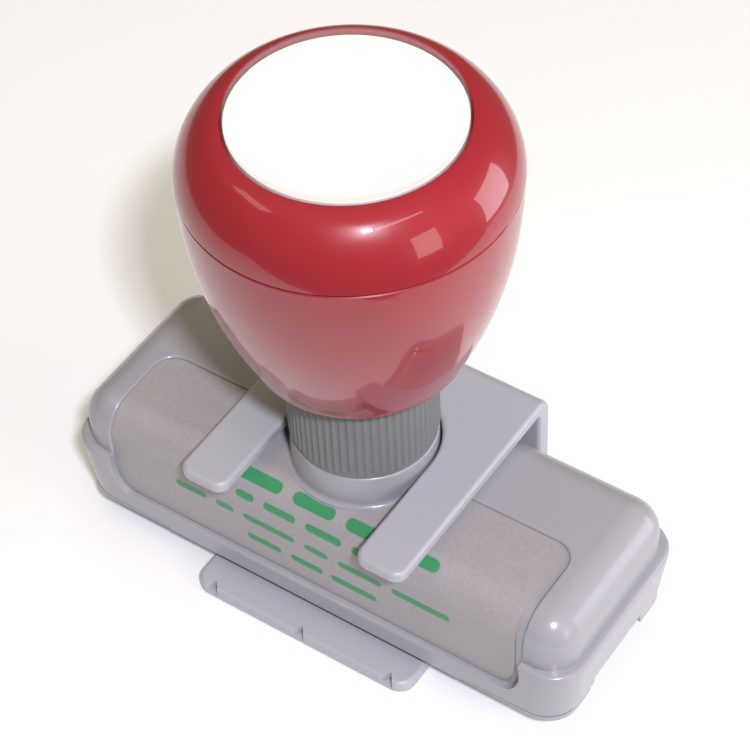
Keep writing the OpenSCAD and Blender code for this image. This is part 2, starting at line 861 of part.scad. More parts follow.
module die_retainer() {
    window_half = die_face + [snug, snug];
    lip_z = die_flange_z - retainer_lip_t;
    color("#55585c") {
        band(retainer_out, inner_r, window_half, inner_r / 2, lip_z, die_flange_z);
        band(retainer_out, inner_r, tray_out + [snug, snug], inner_r, die_flange_z - EPS, tray_z - slide_gap);
    }
}

storage_clip();
housing();
label_film();
bottom_frame();
guide_bush();
adjusting_ring();
ring_retainer();
return_spring();
spring_washer();
handle_stem();
knob_bowl();
knob_cap();
index_disc();
index_cover();
stem_screw();
screw_washer();
die_carrier();
carrier_screw();
ink_pad();
printing_die();
die_retainer();
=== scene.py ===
"""Pre-inked stamp with a round knob and a storage clip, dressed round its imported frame.

Sizes are in millimetres in the classes and become metres in the meshes.
"""
import logging
import math
from dataclasses import dataclass
from enum import Enum
from typing import Any, Callable, Optional, Sequence

import bmesh
import bpy
from bpy.types import Material, Node, NodeSocket, NodeTree, Object
from mathutils import Matrix, Vector


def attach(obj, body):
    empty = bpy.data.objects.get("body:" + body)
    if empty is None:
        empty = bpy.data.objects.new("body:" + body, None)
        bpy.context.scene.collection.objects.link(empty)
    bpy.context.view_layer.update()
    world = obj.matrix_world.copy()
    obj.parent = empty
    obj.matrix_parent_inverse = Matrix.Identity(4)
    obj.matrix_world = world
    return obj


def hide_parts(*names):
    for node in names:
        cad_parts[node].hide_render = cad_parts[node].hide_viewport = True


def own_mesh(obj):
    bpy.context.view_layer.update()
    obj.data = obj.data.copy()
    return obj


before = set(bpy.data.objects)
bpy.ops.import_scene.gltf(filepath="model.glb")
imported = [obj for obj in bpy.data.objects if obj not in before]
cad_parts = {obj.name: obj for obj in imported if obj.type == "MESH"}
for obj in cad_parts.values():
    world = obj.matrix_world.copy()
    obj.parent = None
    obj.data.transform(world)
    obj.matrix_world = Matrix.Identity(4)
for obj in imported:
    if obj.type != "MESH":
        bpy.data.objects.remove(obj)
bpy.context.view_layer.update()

LOG = logging.getLogger("stamp")
MM = 0.001
TURN = 2 * math.pi
LATHE_STEPS = 144
ROUND_STEPS = 12
SMOOTH_ANGLE = math.radians(38)
EASE_ANGLE = math.radians(42)
# Points closer than this, in metres, are doubles
WELD = 0.00001
# Places closer than this, in millimetres, count as one, and a drawn point is this close to its spot
NEAR = 0.02
SPOT = 0.002
# How far a tool reaches past a surface, and into a wall, in millimetres
OVER = 1.0
DEEP = 3.0
# A face looks a way if its normal has at least this much of it
FACING = 0.9
# Sockets of a Mix node's two colours
MIX_A, MIX_B = 6, 7
# Name of the map that follows the label film
WRAP = "wrap"

Pair = tuple[float, float]
Triple = tuple[float, float, float]
Outline = Sequence[Pair]
Test = Callable[..., bool]


class Part(Enum):
    """What is picked in a mesh."""

    POINT = "VERT"
    EDGE = "EDGE"
    FACE = "FACE"


class Cut(Enum):
    """What a tool does to a piece."""

    ADD = "UNION"
    TAKE = "DIFFERENCE"
    KEEP = "INTERSECT"


class Body(Enum):
    """The bodies that pieces ride on."""

    BASE = "base"
    PLUNGER = "plunger"
    RING = "ring"
    CLIP = "clip"


# Modelling by hand: small steps that each class puts together


def clear() -> None:
    """Leave edit mode and deselect everything."""
    if bpy.context.object is not None and bpy.context.object.mode != "OBJECT":
        bpy.ops.object.mode_set(mode="OBJECT")
    bpy.ops.object.select_all(action="DESELECT")


def hold(obj: Object) -> None:
    """Make a piece the only selected one, in object mode.

    Args:
        obj: The piece.
    """
    clear()
    obj.select_set(True)
    bpy.context.view_layer.objects.active = obj


def settle(name: str) -> Object:
    """Put the new primitive's place, turn and size into its mesh, and name it.

    Args:
        name: The piece's name.

    Returns:
        The piece, at the origin.
    """
    bpy.ops.object.transform_apply(location=True, rotation=True, scale=True)
    obj = bpy.context.object
    obj.name = obj.data.name = name
    return obj


def open_mesh(obj: Object, part: Part = Part.POINT, chosen: bool = False) -> None:
    """Open a piece's mesh in edit mode.

    Args:
        obj: The piece.
        part: What is picked next.
        chosen: Whether all of it is selected, or nothing.
    """
    hold(obj)
    bpy.ops.object.mode_set(mode="EDIT")
    bpy.ops.mesh.select_mode(type=part.value)
    bpy.ops.mesh.select_all(action="SELECT" if chosen else "DESELECT")


def pick(obj: Object, part: Part, test: Test) -> int:
    """Select the points, edges or faces that pass a test, in edit mode.

    Args:
        obj: The piece.
        part: What is picked.
        test: Takes a point's place, an edge's two ends, or a face's middle and its normal, in millimetres.

    Returns:
        How many were picked.
    """
    open_mesh(obj, part)
    mesh = bmesh.from_edit_mesh(obj.data)
    if part is Part.POINT:
        found = [v for v in mesh.verts if test(v.co / MM)]
    elif part is Part.EDGE:
        found = [e for e in mesh.edges if test(e.verts[0].co / MM, e.verts[1].co / MM)]
    else:
        found = [f for f in mesh.faces if test(f.calc_center_median() / MM, f.normal)]
    for item in found:
        item.select_set(True)
    if part is Part.POINT:
        mesh.select_flush_mode()
    bmesh.update_edit_mesh(obj.data)
    return len(found)


def extrude(x: float, y: float, z: float) -> None:
    """Draw out what is selected by a step in millimetres."""
    bpy.ops.mesh.extrude_region_move(TRANSFORM_OT_translate={"value": (x * MM, y * MM, z * MM)})


def stretch(x: float, y: float) -> None:
    """Scale what is selected in plan, about the upright axis."""
    bpy.ops.transform.resize(value=(x, y, 1), center_override=(0, 0, 0))


def modify(obj: Object, kind: str, **settings: Any) -> None:
    """Put a modifier on a piece and apply it.

    Args:
        obj: The piece.
        kind: The modifier's type.
        settings: The modifier's own properties.
    """
    hold(obj)
    step = obj.modifiers.new(kind.lower(), kind)
    for key, value in settings.items():
        setattr(step, key, value)
    bpy.ops.object.modifier_apply(modifier=step.name)


def block(name: str, low: Triple, high: Triple) -> Object:
    """Add a box between two corners, ready to be shaped.

    Args:
        name: The piece's name.
        low: Lowest corner in millimetres.
        high: Highest corner in millimetres.

    Returns:
        The box.
    """
    clear()
    middle = [(a + b) / 2 * MM for a, b in zip(low, high)]
    bpy.ops.mesh.primitive_cube_add(size=1, location=middle)
    bpy.context.object.scale = [(b - a) * MM for a, b in zip(low, high)]
    return settle(name)


def chain(name: str, points: Sequence[Triple]) -> Object:
    """Draw a chain of edges through points by extruding one vertex.

    Args:
        name: The piece's name.
        points: Places in millimetres.

    Returns:
        The chain, all selected in edit mode.
    """
    clear()
    bpy.ops.mesh.primitive_plane_add(size=MM)
    obj = settle(name)
    open_mesh(obj, chosen=True)
    bpy.ops.mesh.merge(type="CENTER")
    bpy.ops.transform.translate(value=Vector(points[0]) * MM)
    for start, end in zip(points, points[1:]):
        step = (Vector(end) - Vector(start)) * MM
        bpy.ops.mesh.extrude_vertices_move(TRANSFORM_OT_translate={"value": step})
    bpy.ops.mesh.select_all(action="SELECT")
    return obj


def weld(obj: Object) -> None:
    """Merge a piece's doubled points and turn its faces outwards.

    Args:
        obj: The piece.
    """
    open_mesh(obj, chosen=True)
    bpy.ops.mesh.remove_doubles(threshold=WELD)
    bpy.ops.mesh.delete_loose()
    bpy.ops.mesh.select_all(action="SELECT")
    bpy.ops.mesh.normals_make_consistent(inside=False)
    clear()


def lathe(name: str, profile: Outline) -> Object:
    """Spin a closed half profile round the upright axis.

    Args:
        name: The piece's name.
        profile: Radius and height of each point, in millimetres.

    Returns:
        The turned piece.
    """
    loop = list(profile)
    if loop[0][0] > NEAR or loop[-1][0] > NEAR:
        loop.append(loop[0])
    obj = chain(name, [(r, 0.0, z) for r, z in loop])
    bpy.ops.mesh.spin(steps=LATHE_STEPS, angle=TURN, center=(0, 0, 0), axis=(0, 0, 1))
    weld(obj)
    return obj


def slab(name: str, outline: Outline, z0: float, z1: float) -> Object:
    """Fill a closed outline and extrude it upwards.

    Args:
        name: The piece's name.
        outline: Corners in plan, in millimetres.
        z0: Lower level in millimetres.
        z1: Upper level in millimetres.

    Returns:
        The extruded piece.
    """
    obj = chain(name, [(x, y, z0) for x, y in [*outline, outline[0]]])
    bpy.ops.mesh.remove_doubles(threshold=WELD)
    bpy.ops.mesh.edge_face_add()
    extrude(0, 0, z1 - z0)
    weld(obj)
    return obj


def loft(name: str, loops: Sequence[Sequence[Triple]]) -> Object:
    """Draw closed loops, bridge each to the next and close both ends.

    Args:
        name: The piece's name.
        loops: Loops with the same number of points, in millimetres.

    Returns:
        The lofted piece.
    """
    rings = []
    for loop in loops:
        rings.append(chain(name, [*loop, loop[0]]))
        bpy.ops.mesh.remove_doubles(threshold=WELD)
    obj = rings[0]
    hold(obj)
    for ring in rings:
        ring.select_set(True)
    bpy.ops.object.join()
    open_mesh(obj, Part.EDGE, chosen=True)
    bpy.ops.mesh.bridge_edge_loops()
    for end in (loops[0], loops[-1]):
        spots = [Vector(point) for point in end]
        pick(obj, Part.POINT, lambda p: min((p - spot).length for spot in spots) < SPOT)
        bpy.ops.mesh.edge_face_add()
    weld(obj)
    return obj


def round_edges(obj: Object, radius: float, steps: int, test: Test) -> None:
    """Bevel the edges that pass a test into a round of one radius.

    Args:
        obj: The piece.
        radius: In millimetres.
        steps: Facets across the round.
        test: Takes an edge's two ends in millimetres.
    """
    if pick(obj, Part.EDGE, test):
        bpy.ops.mesh.bevel(offset=radius * MM, segments=steps, profile=0.5, affect="EDGES")
    clear()


def combine(obj: Object, tool: Object, cut: Cut) -> None:
    """Add, take away or keep what a closed tool covers, and remove the tool."""
    modify(obj, "BOOLEAN", operation=cut.value, solver="EXACT", object=tool)
    bpy.data.objects.remove(tool)


def tidy_faces(obj: Object, reach: float = NEAR * MM, angle: float = 0.6) -> None:
    """Weld slivers and join flat neighbouring faces, so that a bevel runs clean.

    Args:
        obj: The piece.
        reach: How near doubled points are, in metres.
        angle: Faces flatter to each other than this, in degrees, are joined.
    """
    open_mesh(obj, chosen=True)
    bpy.ops.mesh.remove_doubles(threshold=reach)
    bpy.ops.mesh.dissolve_limited(angle_limit=math.radians(angle))
    clear()


def ease(obj: Object, radius: float, steps: int) -> None:
    """Round every sharp edge that is left, by a bevel modifier.

    Args:
        obj: The piece.
        radius: In millimetres.
        steps: Facets across each round.
    """
    modify(
        obj,
        "BEVEL",
        width=radius * MM,
        segments=steps,
        limit_method="ANGLE",
        angle_limit=EASE_ANGLE,
        use_clamp_overlap=True,
        miter_outer="MITER_ARC",
    )


def shade(obj: Object) -> None:
    """Shade a piece smooth up to the angle of a real edge, flat faces first.

    Args:
        obj: The piece.
    """
    hold(obj)
    bpy.ops.object.shade_smooth_by_angle(angle=SMOOTH_ANGLE, keep_sharp_edges=False)
    modify(obj, "WEIGHTED_NORMAL", keep_sharp=True)


def spread(start: float, end: float, steps: int) -> list[float]:
    """Even steps from one value to another, both among them."""
    return [start + (end - start) * i / steps for i in range(steps + 1)]


def arc(centre: Pair, radius: float, start: float, end: float, steps: int = ROUND_STEPS) -> list[Pair]:
    """Points along an arc from one angle to another in degrees, both ends among them."""
    angles = [math.radians(a) for a in spread(start, end, steps)]
    return [(centre[0] + radius * math.cos(a), centre[1] + radius * math.sin(a)) for a in angles]


def loaf(name: str, half: Pair, radius: float, z0: float, z1: float) -> Object:
    """Model a loaf: a box with round upright corners and a round top edge.

    Args:
        name: The piece's name.
        half: Half length and half width in millimetres.
        radius: Radius of its rounds in millimetres.
        z0: Lower level in millimetres.
        z1: Upper level in millimetres.

    Returns:
        The loaf.
    """
    obj = block(name, (-half[0], -half[1], z0), (half[0], half[1], z1))
    round_edges(obj, radius, ROUND_STEPS, lambda a, b: max(a.z, b.z) > z0 + NEAR)
    return obj


def soften(node: str, name: str, radius: float) -> Object:
    """Copy a hard-edged solid, join its triangles and ease its edges.

    Args:
        node: The solid's name.
        name: The new piece's name.
        radius: Radius of the eased edges in millimetres.

    Returns:
        The new piece.
    """
    obj = bpy.data.objects.new(name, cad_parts[node].data.copy())
    bpy.context.scene.collection.objects.link(obj)
    tidy_faces(obj, WELD, 1.0)
    ease(obj, radius, 2)
    return obj


# Finishes


def linear(code: str) -> tuple[float, float, float, float]:
    """Turn an sRGB hex colour into linear RGBA.

    Args:
        code: The colour, such as #808080.

    Returns:
        Red, green, blue and a full alpha.
    """
    parts = [int(code[i:i + 2], 16) / 255 for i in (1, 3, 5)]
    red, green, blue = (v / 12.92 if v <= 0.04045 else ((v + 0.055) / 1.055) ** 2.4 for v in parts)
    return red, green, blue, 1.0


def put(
    tree: NodeTree,
    kind: str,
    values: Optional[dict[Any, Any]] = None,
    links: Optional[dict[Any, Any]] = None,
    **settings: Any,
) -> Node:
    """Add a node to a material.

    Args:
        tree: The material's node tree.
        kind: The node's type.
        values: Socket values.
        links: For a socket, the output that feeds it.
        settings: The node's own properties.

    Returns:
        The node.
    """
    node = tree.nodes.new(kind)
    for key, value in settings.items():
        setattr(node, key, value)
    for key, value in (values or {}).items():
        node.inputs[key].default_value = value
    for key, source in (links or {}).items():
        tree.links.new(source, node.inputs[key])
    return node


def per_mm(size: float) -> float:
    """Texture scale for features of this size in millimetres."""
    return 1 / (size * MM)


@dataclass(frozen=True)
class Finish:
    """A moulded or made surface: two close colours, a mottle between them, and a grain.

    Attributes:
        name: The real material and how its surface was made.
        colour: Main sRGB colour.
        shade: Second sRGB colour of the mottle.
        mottle: Size of the mottle in millimetres.
        grain: Size of the grain in millimetres.
        depth: Depth of the grain in millimetres.
        rough: Lowest and highest roughness.
        ior: Index of refraction.
        metal: Whether it is bare metal.
        sheen: Weight of the fibre sheen.
        specular: Strength of the body's own gloss.
        coat: Weight of a polished skin over the body.
        coat_rough: Roughness of that skin.
        alpha: Below one for clear plastic.
    """

    name: str
    colour: str
    shade: str
    mottle: float
    grain: float
    depth: float
    rough: Pair
    ior: float = 1.5
    metal: bool = False
    sheen: float = 0.0
    specular: float = 0.5
    coat: float = 0.0
    coat_rough: float = 0.03
    alpha: float = 1.0

    def material(self) -> Material:
        """Build the finish as a material.

        Returns:
            The material, made once and shared.
        """
        made = bpy.data.materials.get(self.name)
        if made is not None:
            return made
        made = bpy.data.materials.new(self.name)
        made.use_nodes = True
        tree = made.node_tree
        where = put(tree, "ShaderNodeTexCoord").outputs["Object"]
        scale = {"Scale": per_mm(self.grain), "Detail": 3.0}
        grain = put(tree, "ShaderNodeTexNoise", scale, {"Vector": where}).outputs["Fac"]
        reach = {"From Min": 0.3, "From Max": 0.7, "To Min": self.rough[0], "To Max": self.rough[1]}
        rough = put(tree, "ShaderNodeMapRange", reach, {"Value": grain})
        bump = put(tree, "ShaderNodeBump", {"Strength": 1.0, "Distance": self.depth * MM}, {"Height": grain})
        shader = tree.nodes["Principled BSDF"]
        fed = {
            "Base Color": self.tint(tree, where),
            "Roughness": rough.outputs["Result"],
            "Normal": bump.outputs["Normal"],
            "Alpha": self.veil(tree, where),
        }
        for key, source in fed.items():
            if source is not None:
                tree.links.new(source, shader.inputs[key])
        even = {
            "Sheen Weight": self.sheen,
            "Specular IOR Level": self.specular,
            "Coat Weight": self.coat,
            "Coat Roughness": self.coat_rough,
            "Alpha": self.alpha,
            **({"Metallic": 1.0} if self.metal else {"IOR": self.ior}),
        }
        for key, value in even.items():
            shader.inputs[key].default_value = value
        return made

    def veil(self, tree: NodeTree, where: NodeSocket) -> Optional[NodeSocket]:
        """Feed the opacity where it isn't the same all over: nowhere on a plain finish."""
        return None

    def tint(self, tree: NodeTree, where: NodeSocket) -> NodeSocket:
        """Mix the two colours by the mottle.

        Args:
            tree: The material's node tree.
            where: The place on the piece.

        Returns:
            The colour's socket.
        """
        scale = {"Scale": per_mm(self.mottle), "Detail": 4.0}
        mottle = put(tree, "ShaderNodeTexNoise", scale, {"Vector": where})
        colours = {MIX_A: linear(self.colour), MIX_B: linear(self.shade)}
        mix = put(tree, "ShaderNodeMix", colours, {0: mottle.outputs["Fac"]}, data_type="RGBA")
        return mix.outputs[2]


@dataclass(frozen=True)
class ClearWithPaintedWallShade(Finish):
    """Clear cover with a painted shade on its wall.

    Attributes:
        clear_r: Radius in millimetres inside which it is clear.
        blur: How far the step to the wall's tint is drawn out, in millimetres.
        edge: sRGB colour of the painted shade on the wall, with the cap's red painted in as a reflection.
        edge_alpha: Opacity of the wall.
    """

    clear_r: float = 1.0
    blur: float = 0.1
    edge: str = "#ffffff"
    edge_alpha: float = 0.9

    def step(self, tree: NodeTree, where: NodeSocket, low: float, high: float) -> NodeSocket:
        """Step from one value on the clear cover to another on its wall.

        Args:
            tree: The material's node tree.
            where: The place on the piece.
            low: Value on the clear cover.
            high: Value on the wall.

        Returns:
            The value's socket.
        """
        flat = put(tree, "ShaderNodeVectorMath", {1: (1, 1, 0)}, {0: where}, operation="MULTIPLY")
        reach = put(tree, "ShaderNodeVectorMath", links={0: flat.outputs[0]}, operation="LENGTH")
        start, end = self.clear_r * MM, (self.clear_r + self.blur) * MM
        values = {"From Min": start, "From Max": end, "To Min": low, "To Max": high}
        step = put(tree, "ShaderNodeMapRange", values, {"Value": reach.outputs["Value"]})
        return step.outputs["Result"]

    def tint(self, tree: NodeTree, where: NodeSocket) -> NodeSocket:
        """Lay the painted shade of the wall over the cover's own colour.

        Args:
            tree: The material's node tree.
            where: The place on the piece.

        Returns:
            The colour's socket.
        """
        fed = {0: self.step(tree, where, 0.0, 1.0), MIX_A: super().tint(tree, where)}
        # Painted shade on the cover's wall, with the cap's red as a painted reflection
        mix = put(tree, "ShaderNodeMix", {MIX_B: linear(self.edge)}, fed, data_type="RGBA")
        return mix.outputs[2]

    def veil(self, tree: NodeTree, where: NodeSocket) -> Optional[NodeSocket]:
        """Feed one opacity to the cover and another to its wall."""
        return self.step(tree, where, self.alpha, self.edge_alpha)


@dataclass(frozen=True)
class PrintedFilm(Finish):
    """Matt film with rows of plain printed bars.

    Attributes:
        ink: sRGB colour of the bars.
        cover: How far the ink hides the film.
        fade: Where the ink starts and ends to fade, from a bar's outline outwards, in millimetres.
        speck: sRGB colour of the film's specks.
        speck_cover: How far the specks hide the film.
        fleck: Size of the specks in millimetres.
        rows: For each row, its place along the wrap, its half height, and where its bars start and end,
            in millimetres.
    """

    ink: str = "#128a50"
    cover: float = 0.9
    fade: Pair = (-0.12, 0.04)
    speck: str = "#8a8583"
    speck_cover: float = 0.35
    fleck: float = 0.28
    rows: tuple[tuple[float, float, tuple[Pair, ...]], ...] = ()

    def tint(self, tree: NodeTree, where: NodeSocket) -> NodeSocket:
        """Print the bars over the film's own mottle and specks.

        Args:
            tree: The material's node tree.
            where: The place on the piece.

        Returns:
            The colour's socket.
        """
        scale = {"Scale": per_mm(self.fleck), "Detail": 2.0}
        fleck = put(tree, "ShaderNodeTexNoise", scale, {"Vector": where})
        reach = {"From Min": 0.42, "From Max": 0.62, "To Min": 0.0, "To Max": self.speck_cover}
        speck = put(tree, "ShaderNodeMapRange", reach, {"Value": fleck.outputs["Fac"]}).outputs["Result"]
        wrap = put(tree, "ShaderNodeUVMap", uv_map=WRAP).outputs["UV"]
        bars = [
            self.bar(tree, wrap, ((left + right) / 2, level), ((right - left) / 2, height))
            for level, height, ends in self.rows
            for left, right in ends
        ]
        mask = bars[0]
        for bar in bars[1:]:
            mask = put(tree, "ShaderNodeMath", links={0: mask, 1: bar}, operation="MAXIMUM").outputs[0]
        colour = super().tint(tree, where)
        for code, share in ((self.speck, speck), (self.ink, mask)):
            fed = {0: share, MIX_A: colour}
            colour = put(tree, "ShaderNodeMix", {MIX_B: linear(code)}, fed, data_type="RGBA").outputs[2]
        return colour

    def bar(self, tree: NodeTree, wrap: NodeSocket, middle: Pair, half: Pair) -> NodeSocket:
        """Mask one bar with round ends.

        Args:
            tree: The material's node tree.
            wrap: The place along the film, in millimetres.
            middle: The bar's middle.
            half: Half its length and half its height.

        Returns:
            The mask's socket, at its highest inside the bar.
        """
        place = wrap
        for operation, value in (
            ("SUBTRACT", (*middle, 0)),
            ("ABSOLUTE", (0, 0, 0)),
            ("SUBTRACT", (half[0] - half[1], 0, 0)),
            ("MAXIMUM", (0, 0, 0)),
        ):
            place = put(tree, "ShaderNodeVectorMath", {1: value}, {0: place}, operation=operation).outputs[0]
        reach = put(tree, "ShaderNodeVectorMath", links={0: place}, operation="LENGTH")
        start, end = (half[1] + step for step in self.fade)
        values = {"From Min": start, "From Max": end, "To Min": self.cover, "To Max": 0.0}
        soft = put(tree, "ShaderNodeMapRange", values, {"Value": reach.outputs["Value"]})
        return soft.outputs["Result"]


# Gloss-moulded polystyrene: deep crimson under a polished skin, with sharp reflections and a faint ripple
KNOB_RED = Finish(
    "polystyrene_gloss_moulded_crimson", "#9c2833", "#94242e", mottle=9.0, grain=3.0, depth=0.002,
    rough=(0.28, 0.36), specular=0.25, coat=0.85,
)
# Satin-moulded ABS: soft highlights on a spark-eroded grain, drawn coarser than life so that it shows
HOUSING_GREY = Finish(
    "abs_satin_moulded_lavender_grey", "#9e9da5", "#9a99a0", mottle=7.0, grain=0.35, depth=0.001,
    rough=(0.2, 0.26),
)
# The same plastic, paler and a little duller, so that its edges catch the light in a wide band
CLIP_GREY = Finish(
    "abs_satin_moulded_pale_grey", "#acadb6", "#a8a9b1", mottle=8.0, grain=0.35, depth=0.001,
    rough=(0.28, 0.38),
)
# Matt nylon: waxy and without gloss, so that its ribs show by shade alone
RING_GREY = Finish(
    "nylon_matt_moulded_green_grey", "#777a7b", "#6e7172", mottle=3.0, grain=0.3, depth=0.008,
    rough=(0.5, 0.66),
)
# Coated card: an even white with hardly a gleam
CARD_WHITE = Finish(
    "card_coated_white", "#f1f0ee", "#eeedea", mottle=4.0, grain=0.25, depth=0.003, rough=(0.45, 0.6),
)
# Polished acrylic: clear over the card; its wall carries a painted shade, with the cap's red as a painted
# reflection
COVER_CLEAR = ClearWithPaintedWallShade(
    "acrylic_sheet_polished_clear", "#fafafa", "#f2f4f5", mottle=12.0, grain=6.0, depth=0.001,
    rough=(0.03, 0.06), ior=1.49, alpha=0.05, clear_r=13.38, edge="#8a4a58", edge_alpha=0.1,
)
# Black acetal: dark and slippery, with a broad soft gleam
STEM_BLACK = Finish(
    "acetal_moulded_black", "#2e3034", "#26282b", mottle=5.0, grain=0.4, depth=0.006, rough=(0.35, 0.5),
)
# Natural acetal: creamy and a little waxy
BUSH_CREAM = Finish(
    "acetal_moulded_cream", "#d8d4c8", "#cfcabc", mottle=5.0, grain=0.4, depth=0.005, rough=(0.3, 0.45),
)
# Drawn steel wire: grey metal with fine soft glints
SPRING_STEEL = Finish(
    "steel_wire_drawn", "#b9bcc0", "#a4a7ab", mottle=2.0, grain=0.2, depth=0.004, rough=(0.22, 0.36),
    metal=True,
)
# Pressed felt full of ink: dark and without gloss, under a faint fuzz
PAD_FELT = Finish(
    "felt_pressed_inked", "#1d6b45", "#164f34", mottle=1.5, grain=0.3, depth=0.08, rough=(0.85, 1.0),
    sheen=0.4,
)
# Foam rubber with an engraved face: brick red, dull and finely pored
DIE_RUBBER = Finish(
    "rubber_foam_engraved", "#8a3b34", "#77312c", mottle=2.0, grain=0.25, depth=0.02, rough=(0.6, 0.8),
)
# Satin-moulded ABS in a dark grey, with a duller grain as on inside parts
RETAINER_GREY = Finish(
    "abs_satin_moulded_dark_grey", "#55585c", "#4c4f53", mottle=5.0, grain=0.4, depth=0.006,
    rough=(0.4, 0.55),
)
# Matt polyester film: a fine speckle under flat green ink
FILM_GREY = PrintedFilm(
    "polyester_matt_film_printed",
    "#a4a0a4",
    "#9c989b",
    mottle=2.2,
    grain=0.3,
    depth=0.002,
    rough=(0.4, 0.5),
    rows=(
        (-10.7, 0.9, ((-18.0, -14.2), (-12.6, -5.2), (-3.6, 2.6), (4.2, 10.6), (12.0, 17.6))),
        (-13.6, 0.6, ((-11.2, -8.4), (-7.0, -2.2), (-0.8, 4.6), (6.0, 11.2))),
        (-17.4, 0.6, ((-20.6, -15.8), (-14.4, -11.6), (-10.2, -2.4), (-1.0, 2.6), (4.0, 10.4), (11.8, 20.2))),
        (-20.9, 0.6, ((-9.8, -4.6), (-3.2, 1.6), (2.8, 9.6))),
    ),
)
# Matt paper: pale and flat
SHEET_WHITE = Finish(
    "paper_matt_white", "#e2e2e2", "#e0e0e0", mottle=60.0, grain=2.0, depth=0.01, rough=(0.8, 0.9),
)


def dress(obj: Object, finish: Finish, body: Body, node: str) -> Object:
    """Shade a piece, give it its finish and its body, and hide the solid that it stands for.

    Args:
        obj: The piece.
        finish: Its finish.
        body: The body that it rides on.
        node: The solid that it replaces.

    Returns:
        The piece.
    """
    shade(obj)
    obj.data.materials.clear()
    obj.data.materials.append(finish.material())
    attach(obj, body.value)
    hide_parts(node)
    LOG.info("%s: %d faces on %s for %s", obj.name, len(obj.data.polygons), body.value, node)
    return obj


# Sub-assemblies


@dataclass
class LabelPocket:
    """The recess that wraps from the housing's top over its front.

    Attributes:
        lip_turn: Angles, in degrees, where the round of its lip starts and ends.
        lip_past: How far the lip's tool reaches forward, in radii of the lip.
    """

    half_l: float = 30.4
    reach_y: float = 20.0
    foot_z: float = 7.4
    high_z: float = 26.0
    top_r: float = 3.0
    foot_r: float = 4.2
    lip_r: float = 0.4
    lip_turn: Pair = (10.0, 90.0)
    lip_steps: int = 6
    lip_past: float = 6.0

    def column(self, margin: float = 0.0, back: float = 0.0, foot: float = 0.0) -> Object:
        """Model the column that marks the recess out.

        Args:
            margin: How far its ends are drawn in, in millimetres.
            back: How far its back edge is drawn in, in millimetres.
            foot: How far its foot is drawn in, in millimetres.

        Returns:
            The column, to be used as a tool.
        """
        half = self.half_l - margin
        low = self.foot_z + foot
        obj = block("column", (-half, -self.reach_y, low), (half, -back, self.high_z))
        round_edges(
            obj,
            self.top_r,
            ROUND_STEPS,
            lambda a, b: abs(a.z - b.z) > NEAR and max(abs(a.y + back), abs(b.y + back)) < NEAR,
        )
        round_edges(
            obj,
            self.foot_r,
            ROUND_STEPS,
            lambda a, b: abs(a.y - b.y) > self.top_r
            and max(a.z, b.z) < low + NEAR
            and abs(abs(a.x) - half) < NEAR,
        )
        return obj

    def flare(self, face_y: float, draft: float) -> Object:
        """Model the tool that rounds the strip's lip where the recess breaks through the skirt.

        Args:
            face_y: The skirt's face at the strip's level, in millimetres.
            draft: How far the face comes forward for each millimetre up.

        Returns:
            The tool.
        """
        turns = [math.radians(t) for t in spread(*self.lip_turn, self.lip_steps)]
        stations = [(1 - math.cos(t), math.sin(t)) for t in turns]
        loops = []
        for out, forward in [*stations, (1.0, self.lip_past)]:
            grow = out * self.lip_r
            half, foot, r = self.half_l + grow, self.foot_z - grow, self.foot_r + grow
            outline = [
                (half, self.high_z),
                (-half, self.high_z),
                *arc((r - half, foot + r), r, 180, 270),
                *arc((half - r, foot + r), r, 270, 360),
            ]
            y = face_y + (1 - forward) * self.lip_r
            loops.append([(x, y - draft * (z - self.foot_z), z) for x, z in outline])
        return loft("flare", loops)


